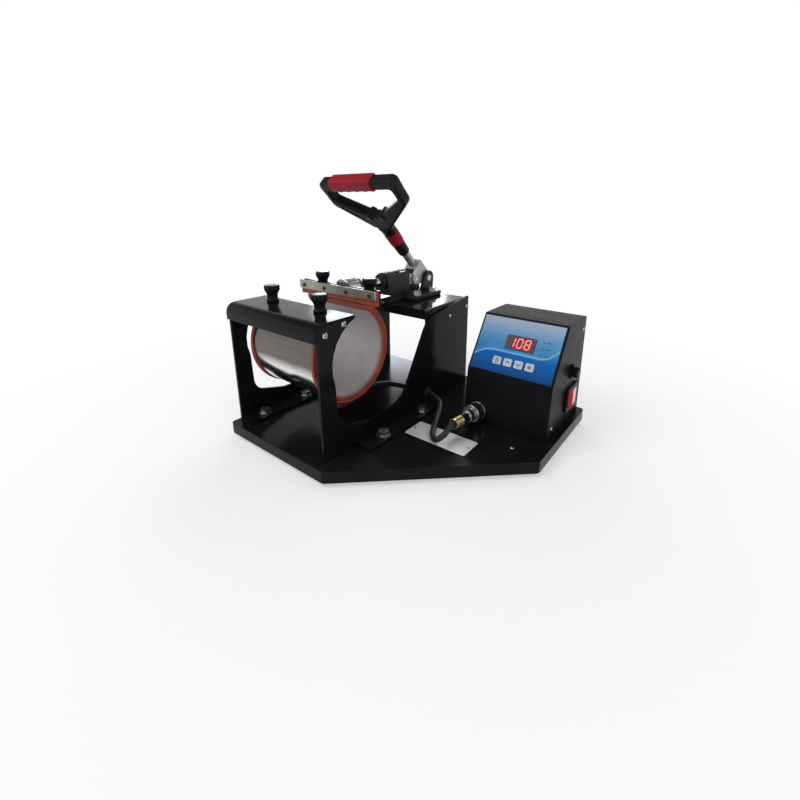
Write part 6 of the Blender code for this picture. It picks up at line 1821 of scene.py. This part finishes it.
    def grip(self) -> None:
        """Loft the red sleeve, with finger hollows below and low ribs above."""
        place, (left, right), count = self.place(), self.grip_ends, 160
        half_depth, half_height = self.grip_half
        length = right - left
        rings = []
        for index in range(count + 1):
            share = index / count
            x = left + length * share
            end = min(share, 1 - share) * length
            shrink = 0.9 * MM * max(0.0, 1 - end / (1.3 * MM)) ** 2
            finger = (share * self.fingers) % 1.0
            rise = self.hollow * math.sin(math.pi * finger) ** 0.6
            rib = 0.18 * MM * math.cos(2 * math.pi * x / (3.1 * MM))
            low = self.grip_centre - half_height + rise + shrink
            high = self.grip_centre + half_height - shrink - 0.2 * MM + rib * (1 if end > 4 * MM else 0)
            half = (half_depth - shrink, (high - low) / 2)
            outline = rounded_box(half, 3.6 * MM - shrink, 7, (0.0, (high + low) / 2))
            rings.append([place @ Vector((x, y, z)) for y, z in outline])
        settle(add_piece("grip_sleeve", loft("grip_sleeve", rings), GRIP_RED), "handle", "handle_grip")

    def build(self) -> None:
        """Make the frame, the grip, the band and the two screws in the bosses."""
        self.body()
        self.grip()
        self.ring()
        offset, height, _, rise = self.boss
        places = []
        for side in (-1, 1):
            spot = self.facing(side * offset, height)
            out = spot.to_3x3() @ Vector((0, 0, 1))
            places.append((tuple(spot @ Vector((0, 0, rise))), tuple(out)))
        Screws("handle_screws", "handle", SOCKET_SCREW, places).build()

    def slimmer(self, point: Vector) -> Vector:
        """Return a point of the lever, drawn inward where it lies on the shaft.

        Args:
            point: a point of the lever.

        Returns:
            Its new place.
        """
        place = self.place()
        local = place.inverted() @ point
        given, wanted = self.shaft
        if local.z > 25 * MM and abs(math.hypot(local.x, local.y) - given) < 0.1 * MM:
            local = Vector((local.x * wanted / given, local.y * wanted / given, local.z))
        return place @ local

    def dress(self) -> None:
        """Give the lever and the link pin their finishes."""
        refine("handle_lever", ZINC, reshape=self.slimmer)
        refine("link_pin", STEEL)


SEGMENTS: dict[str, str] = {
    "0": "abcdef", "1": "bc", "2": "abged", "3": "abgcd", "4": "fgbc", "5": "afgcd", "6": "afgedc",
    "7": "abc", "8": "abcdefg", "9": "abcdfg",
}
# The bars of each key's sign, from point to point in mm from the key's middle.
KEY_SIGNS: tuple[tuple[tuple[Flat, Flat], ...], ...] = (
    (((-2.2, 2.2), (2.2, 2.2)), ((-2.2, 0.0), (2.2, 0.0)), ((-2.2, -2.2), (2.2, -2.2))),
    (((-2.2, -1.0), (0.0, 1.6)), ((0.0, 1.6), (2.2, -1.0))),
    (((-2.2, 1.0), (0.0, -1.6)), ((0.0, -1.6), (2.2, 1.0))),
    (((-2.2, 0.0), (2.2, 0.0)), ((0.0, -2.2), (0.0, 2.2))),
)


@dataclass
class ControlBox:
    """The control box: panel film, display with lit digits, keys, switch, fuse holder and gland.

    Attributes:
        knee: the panel's lower middle point, on the box's knee.
        slope: how far the panel leans back, in radians.
        display: middle of the display in the panel's own coordinates.
        display_face: height of the display above the box.
        shown: the number on the display.
        digit: width and height of a digit.
        digit_pitch: distance from digit to digit.
        keys: x of each key.
        key_row: their distance up the panel.
        key_face: height of their tops.
        lamps: distances up the panel of the small lamps.
        lamp_column: x of the lamps.
    """

    knee: Point = (90.5 * MM, 40.5 * MM, 71.4 * MM)
    slope: float = math.atan2(125.0 - 71.4, 76.0 - 40.5)
    display: Flat = (3.0 * MM, 36.2 * MM)
    display_face: float = 1.7 * MM
    shown: str = "108"
    digit: Flat = (4.9 * MM, 9.6 * MM)
    digit_pitch: float = 8.3 * MM
    keys: tuple[float, ...] = (-16.0 * MM, -4.2 * MM, 7.6 * MM, 19.4 * MM)
    key_row: float = 14.0 * MM
    key_face: float = 2.3 * MM
    lamps: tuple[float, ...] = (42.5 * MM, 35.8 * MM, 28.4 * MM)
    lamp_column: float = 26.5 * MM

    def place(self) -> Matrix:
        """Return the panel's own frame: its Y runs up the slope and its Z points out."""
        return Matrix.Translation(self.knee) @ Matrix.Rotation(self.slope, 4, "X")

    def bar(self, name: str, start: Flat, end: Flat, half: float, low: float, high: float) -> bpy.types.Mesh:
        """Return a flat bar with pointed ends between two points of the panel.

        Args:
            name: the mesh's name.
            start: its first point.
            end: its last point.
            half: half of its width.
            low: height of its underside.
            high: height of its upper face.

        Returns:
            A closed mesh.
        """
        way = Vector((end[0] - start[0], end[1] - start[1]))
        length = way.length
        way.normalize()
        across = Vector((-way.y, way.x))
        shape = [(0.0, 0.0), (half, -half), (length - half, -half), (length, 0.0), (length - half, half),
                 (half, half)]
        outline = [
            (start[0] + way.x * a + across.x * b, start[1] + way.y * a + across.y * b) for a, b in shape
        ]
        return slab(name, outline, low, high, self.place(), 0.02 * MM)

    def digits(self) -> None:
        """Make the lit segments of the shown number."""
        width, height = self.digit
        meshes = []
        for number, character in enumerate(self.shown):
            x = self.display[0] + (number - (len(self.shown) - 1) / 2) * self.digit_pitch - 0.6 * MM
            left, right = x - width / 2, x + width / 2
            low, high = self.display[1] - height / 2, self.display[1] + height / 2
            middle = self.display[1]
            bars = {
                "a": ((left, high), (right, high)), "b": ((right, high), (right, middle)),
                "c": ((right, middle), (right, low)), "d": ((left, low), (right, low)),
                "e": ((left, middle), (left, low)), "f": ((left, high), (left, middle)),
                "g": ((left, middle), (right, middle)),
            }
            for letter in SEGMENTS[character]:
                start, end = bars[letter]
                slant = [(px + (py - middle) * 0.09, py) for px, py in (start, end)]
                face = self.display_face
                meshes.append(
                    self.bar(f"segment_{number}_{letter}", slant[0], slant[1], 0.72 * MM, face + 0.01 * MM,
                             face + 0.09 * MM)
                )
        settle(add_piece("display_digits", joined("display_digits", meshes), DIGIT_RED), "frame")

    def marks(self) -> None:
        """Make the lamps on the film and a plain mark on each key."""
        place = self.place()
        lamps, lines = [], []
        for number, up in enumerate(self.lamps):
            spot = place @ Matrix.Translation((self.lamp_column, up, 1.1 * MM))
            profile = [(0.0, 0.02 * MM), (1.0 * MM, 0.02 * MM), (0.8 * MM, 0.3 * MM), (0.0, 0.4 * MM)]
            lamps.append(turned(f"lamp_{number}", profile, spot, 20))
            lines.append(self.bar(f"line_{number}", (self.lamp_column + 2.6 * MM, up),
                                  (self.lamp_column + 8.2 * MM, up), 0.55 * MM, 1.12 * MM, 1.18 * MM))
        settle(add_piece("panel_lamps", joined("panel_lamps", lamps), LAMP_DARK), "frame")
        settle(add_piece("panel_lines", joined("panel_lines", lines), KEY_MARK), "frame")
        low, high = self.key_face + 0.01 * MM, self.key_face + 0.07 * MM
        for number, (x, sign) in enumerate(zip(self.keys, KEY_SIGNS)):
            bars = []
            for index, ends in enumerate(sign):
                start, end = ((x + across * MM, self.key_row + up * MM) for across, up in ends)
                bars.append(self.bar(f"mark_{number}_{index}", start, end, 0.5 * MM, low, high))
            name = f"key_mark_{number + 1}"
            settle(add_piece(name, joined(name, bars), KEY_MARK), body_of(f"button_{number + 1}"))

    def build(self) -> None:
        """Make the digits, the marks and the small hardware of the box."""
        self.digits()
        self.marks()
        right = 137.0 * MM
        side = [((right, y, z), (1, 0, 0)) for y, z in ((46.0 * MM, 26.0 * MM), (120.0 * MM, 26.0 * MM),
                                                        (120.0 * MM, 112.0 * MM))]
        Screws("box_screws_right", "frame", SMALL_SCREW, side).build()
        left = [((44.0 * MM, place[1], place[2]), (-1, 0, 0)) for place, _ in side]
        Screws("box_screws_left", "frame", SMALL_SCREW, left).build()

    def dress(self) -> None:
        """Give the box and everything on it its finish."""
        film = PanelFilm(
            "panel film", "panel_film", (0.01, 0.12, 0.40), (0.02, 0.16, 0.46), gloss=(0.22, 0.34),
            specular=0.04, grain=700.0, relief=0.000008, edge=0.0002, foot=self.knee, slope=self.slope,
            length=62.4 * MM,
        )
        finishes = {
            "box_shell": BOX_BLACK, "label_panel": film, "display_window": DISPLAY_GLASS,
            "control_board": BOARD_GREEN, "button_1": KEY_WHITE, "button_2": KEY_WHITE,
            "button_3": KEY_WHITE, "button_4": KEY_WHITE, "switch_frame": BLACK_PLASTIC,
            "rocker": ROCKER_RED, "fuse_holder": BLACK_PLASTIC, "fuse_cap": BLACK_PLASTIC,
            "cable_gland": BLACK_PLASTIC,
        }
        for node, finish in finishes.items():
            refine(node, finish)


@dataclass
class Lead:
    """The heater's lead: socket, plug, spring and the cable to the wrap.

    Attributes:
        radius: the cable's radius.
        start: where the socket's axis leaves the box.
        lean: how far the box's lower front leans back, in radians.
        plug: how far the plug reaches out.
        spring: the spring's length.
        curl: radius of its curls.
        wire: radius of its wire.
        curls: how many there are.
    """

    radius: float = 3.0 * MM
    start: Point = (61.0 * MM, 36.0921 * MM, 27.0 * MM)
    lean: float = math.atan2(40.5 - 35.0, 71.4 - 16.0)
    plug: float = 34.8 * MM
    spring: float = 17.0 * MM
    curl: float = 4.4 * MM
    wire: float = 0.6 * MM
    curls: int = 8

    def out(self, distance: float) -> Vector:
        """Return the point on the plug's axis at a distance from the box.

        Args:
            distance: how far out it is.

        Returns:
            The point.
        """
        reach = distance + 0.3 * MM
        x, y, z = self.start
        return Vector((x, y - reach * math.cos(self.lean), z + reach * math.sin(self.lean)))

    def route(self) -> list[Vector]:
        """Return the lead's own points, from the plug to the heater.

        Returns:
            The points that its curve passes through.
        """
        lying = 19.3 * MM
        face, inside = -9.0 * MM, -11.5 * MM
        hole_y, hole_z = 40.0 * MM, 26.0 * MM
        end = Vector((-54.0 * MM, -48.0 * MM, 44.4 * MM))
        plug, spring = self.plug, self.spring
        return [
            self.out(plug - 9.7 * MM),
            self.out(plug),
            self.out(plug + spring / 2),
            self.out(plug + spring),
            self.out(plug + spring + self.radius),
            Vector((60.0 * MM, -29.0 * MM, lying + 7.5 * MM)),
            Vector((53.5 * MM, -33.0 * MM, lying + 2.0 * MM)),
            Vector((43.0 * MM, -24.0 * MM, lying + 0.5 * MM)),
            Vector((29.0 * MM, 4.0 * MM, lying + 1.0 * MM)),
            Vector((14.0 * MM, 31.0 * MM, lying + 4.0 * MM)),
            Vector((face + self.radius, hole_y, hole_z)),
            Vector((face, hole_y, hole_z)),
            Vector((inside, hole_y, hole_z)),
            Vector((inside - self.radius, hole_y, hole_z)),
            Vector((-35.0 * MM, 28.0 * MM, 31.0 * MM)),
            Vector((-49.0 * MM, 6.0 * MM, 38.0 * MM)),
            end + Vector((0, 10.0 * MM, 0)),
            end,
        ]

    def smooth(self, points: Sequence[Vector], between: int) -> list[Vector]:
        """Return a smooth curve through the points.

        Args:
            points: the points.
            between: steps from point to point.

        Returns:
            The points of the curve.
        """
        padded = [points[0], *points, points[-1]]
        route = []
        for index in range(len(points) - 1):
            before, here, there, after = padded[index : index + 4]
            leave, arrive = (there - before) / 2, (after - here) / 2
            for step in range(between):
                t = step / between
                route.append(
                    here * (2 * t**3 - 3 * t**2 + 1) + leave * (t**3 - 2 * t**2 + t)
                    + there * (3 * t**2 - 2 * t**3) + arrive * (t**3 - t**2)
                )
        return [*route, points[-1]]

    def coil(self) -> list[Vector]:
        """Return the spring's wire: straight at both ends, with its curls between.

        Returns:
            The points of its middle line.
        """
        place = Matrix.Translation(self.out(0)) @ Matrix.Rotation(math.pi / 2 - self.lean, 4, "X")
        foot, straight, each = self.plug + 0.3 * MM, 2 * self.wire, 26
        start, end = foot + straight, foot + self.spring - straight
        count = self.curls * each
        route = [Vector((self.curl, 0, foot))]
        for step in range(count + 1):
            angle = 2 * math.pi * step / each
            height = start + (end - start) * step / count
            route.append(Vector((self.curl * math.cos(angle), self.curl * math.sin(angle), height)))
        route.append(Vector((self.curl, 0, end + straight)))
        return [place @ point for point in route]

    def build(self) -> None:
        """Make the cable and the spring."""
        cable = tube("heater_lead", self.smooth(self.route(), 12), self.radius, 18)
        settle(add_piece("heater_lead", cable, CABLE_SHEATH), "frame", "heater_cable")
        wire = tube("lead_coil", self.coil(), self.wire, 8)
        settle(add_piece("lead_coil", wire, SPRING_WIRE), "frame", "lead_spring")

    def dress(self) -> None:
        """Give the socket and the plug their finishes."""
        refine("heater_socket", STEEL)
        refine("plug_ring", STEEL)
        refine("plug_body", ROD)


# Room


@dataclass
class Room:
    """The pale floor, the soft lights and the camera.

    Attributes:
        eye: where the camera stands.
        right: the camera's right in the room.
        down: its downward direction.
        forward: the way it looks.
        focal: focal length in image widths.
        shift: how far the picture's middle is moved.
        floor_reach: where the floor starts to run out into white, and where it is white.
        ceiling: sines of the heights at which the white gives way to the grey ceiling.
        lamps: name, place, size and power of each soft light.
        target: what the soft lights face.
    """

    eye: Point = (259.12 * MM, -338.82 * MM, 244.39 * MM)
    right: Point = (0.7913, 0.6114, 0.0)
    down: Point = (0.1676, -0.2169, -0.9617)
    forward: Point = (-0.5880, 0.7610, -0.2741)
    focal: float = 428.0 / 800.0
    shift: Flat = (-0.01375, -0.0975)
    floor_reach: Flat = (0.20, 0.55)
    ceiling: Flat = (0.42, 0.58)
    lamps: tuple[tuple[str, Point, float, float], ...] = (
        ("key", (-0.5, -0.9, 1.3), 0.9, 10.0),
        ("fill", (1.2, -0.5, 0.9), 0.9, 4.0),
        ("back", (-0.2, 1.1, 1.2), 0.8, 5.0),
    )
    target: Point = (0, 0, 0.1)

    def camera(self) -> None:
        """Stand the camera where the photograph was taken from."""
        data = bpy.data.cameras.new("view")
        data.sensor_width = 36.0
        data.lens = 36.0 * self.focal
        data.shift_x, data.shift_y = self.shift
        data.clip_start, data.clip_end = 0.01, 60.0
        camera = bpy.data.objects.new("view", data)
        bpy.context.scene.collection.objects.link(camera)
        axes = Matrix((self.right, tuple(-part for part in self.down), tuple(-part for part in self.forward)))
        camera.matrix_world = Matrix.Translation(self.eye) @ axes.transposed().to_4x4()
        bpy.context.scene.camera = camera

    def floor(self) -> None:
        """Lay the pale floor, which keeps the shadow and runs out into a white backdrop."""
        paint = Paint("pale floor")
        cloud = paint.noise(3.0, 2.0).ramp(0.3, 0.7)
        paint.set(Base_Color=paint.mix(cloud, (0.90, 0.90, 0.90), (0.88, 0.88, 0.88)), Roughness=0.75)
        paint.set(Specular_IOR_Level=0.2)
        reach = (paint.axis(0) ** 2 + paint.axis(1) ** 2).root()
        share = (reach.ramp(self.floor_reach[0], self.floor_reach[1]) * 0.55 + 0.45) * self.seen(paint)
        white = paint.node("ShaderNodeEmission", {}, {"Color": (1.0, 1.0, 1.0, 1.0), "Strength": 1.0})
        both = paint.node(
            "ShaderNodeMixShader", {}, {0: share, 1: paint.shader.outputs[0], 2: white.outputs[0]}
        )
        output = next(node for node in paint.tree.nodes if node.type == "OUTPUT_MATERIAL")
        paint.feed(output.inputs["Surface"], both.outputs[0])
        mesh = bpy.data.meshes.new("floor")
        half = 12.0
        corners = [(-half, -half, 0), (half, -half, 0), (half, half, 0), (-half, half, 0)]
        mesh.from_pydata(corners, [], [(0, 1, 2, 3)])
        floor = bpy.data.objects.new("floor", mesh)
        bpy.context.scene.collection.objects.link(floor)
        mesh.materials.append(paint.material)

    @staticmethod
    def seen(graph: Graph) -> Num:
        """Return 1 for rays from the camera, from gloss and through glass, and 0 for the rest.

        Args:
            graph: the graph that asks.

        Returns:
            The number.
        """
        rays = graph.node("ShaderNodeLightPath").outputs
        total = Num(graph, rays["Is Camera Ray"]) + Num(graph, rays["Is Glossy Ray"])
        return (total + Num(graph, rays["Is Transmission Ray"])).least(1.0)

    def world(self) -> None:
        """Light the room softly; what looks at it sees white, and gloss also sees a grey ceiling high up."""
        world = bpy.data.worlds.new("room")
        bpy.context.scene.world = world
        world.use_nodes = True
        graph = Graph(world.node_tree)
        graph.tree.nodes.clear()
        away = graph.node("ShaderNodeTexCoord").outputs["Generated"]
        height = Num(graph, graph.node("ShaderNodeSeparateXYZ", {}, {0: away}).outputs[2])
        mirrored = Num(graph, graph.node("ShaderNodeLightPath").outputs["Is Glossy Ray"])
        tone = 1.0 - height.ramp(*self.ceiling) * mirrored * 0.80
        soft = graph.node("ShaderNodeBackground", {}, {"Color": (0.95, 0.97, 1.0, 1.0), "Strength": 0.50})
        white = graph.node("ShaderNodeBackground", {}, {"Color": (1.0, 1.0, 1.0, 1.0), "Strength": tone})
        both = graph.node(
            "ShaderNodeMixShader", {}, {0: self.seen(graph), 1: soft.outputs[0], 2: white.outputs[0]}
        )
        graph.node("ShaderNodeOutputWorld", {}, {"Surface": both.outputs[0]})

    def card(self, place: Point, target: Point, size: Flat, power: float) -> None:
        """Stand a bright card where flat tops mirror it, out of the camera's own sight.

        Args:
            place: where it stands.
            target: what it faces.
            size: its width and height.
            power: its power in watts.
        """
        self.lamp("card", place, target, size[0], power)
        data = bpy.data.lights["card"]
        data.shape, data.size_y = "RECTANGLE", size[1]
        data.color = (0.86, 0.90, 1.0)
        bpy.data.objects["card"].visible_camera = False

    def lamp(self, name: str, place: Point, target: Point, size: float, power: float) -> None:
        """Hang one soft square light that faces a target.

        Args:
            name: the light's name.
            place: where it hangs.
            target: what it faces.
            size: its side.
            power: its power in watts.
        """
        data = bpy.data.lights.new(name, "AREA")
        data.shape, data.size, data.energy = "SQUARE", size, power
        lamp = bpy.data.objects.new(name, data)
        bpy.context.scene.collection.objects.link(lamp)
        lamp.location = place
        lamp.rotation_euler = (Vector(target) - Vector(place)).to_track_quat("-Z", "Y").to_euler()

    def build(self) -> None:
        """Put the whole room together."""
        bpy.context.scene.view_settings.view_transform = "Standard"
        self.camera()
        self.floor()
        self.world()
        for name, place, size, power in self.lamps:
            self.lamp(name, place, self.target, size, power)
        self.card(place=(-1.35, 1.46, 0.58), target=(-0.08, 0, 0.1), size=(0.75, 0.40), power=8.0)


def main() -> None:
    """Build the room and every sub-assembly."""
    logging.basicConfig(level=logging.INFO, format="%(message)s")
    Room().build()
    for part in (Base(), Bracket(), Wrap(), Strips(), Clamp(), Handle(), ControlBox(), Lead()):
        part.build()
        part.dress()
        LOG.info("%s is complete", type(part).__name__)


if __name__ == "__main__":
    main()
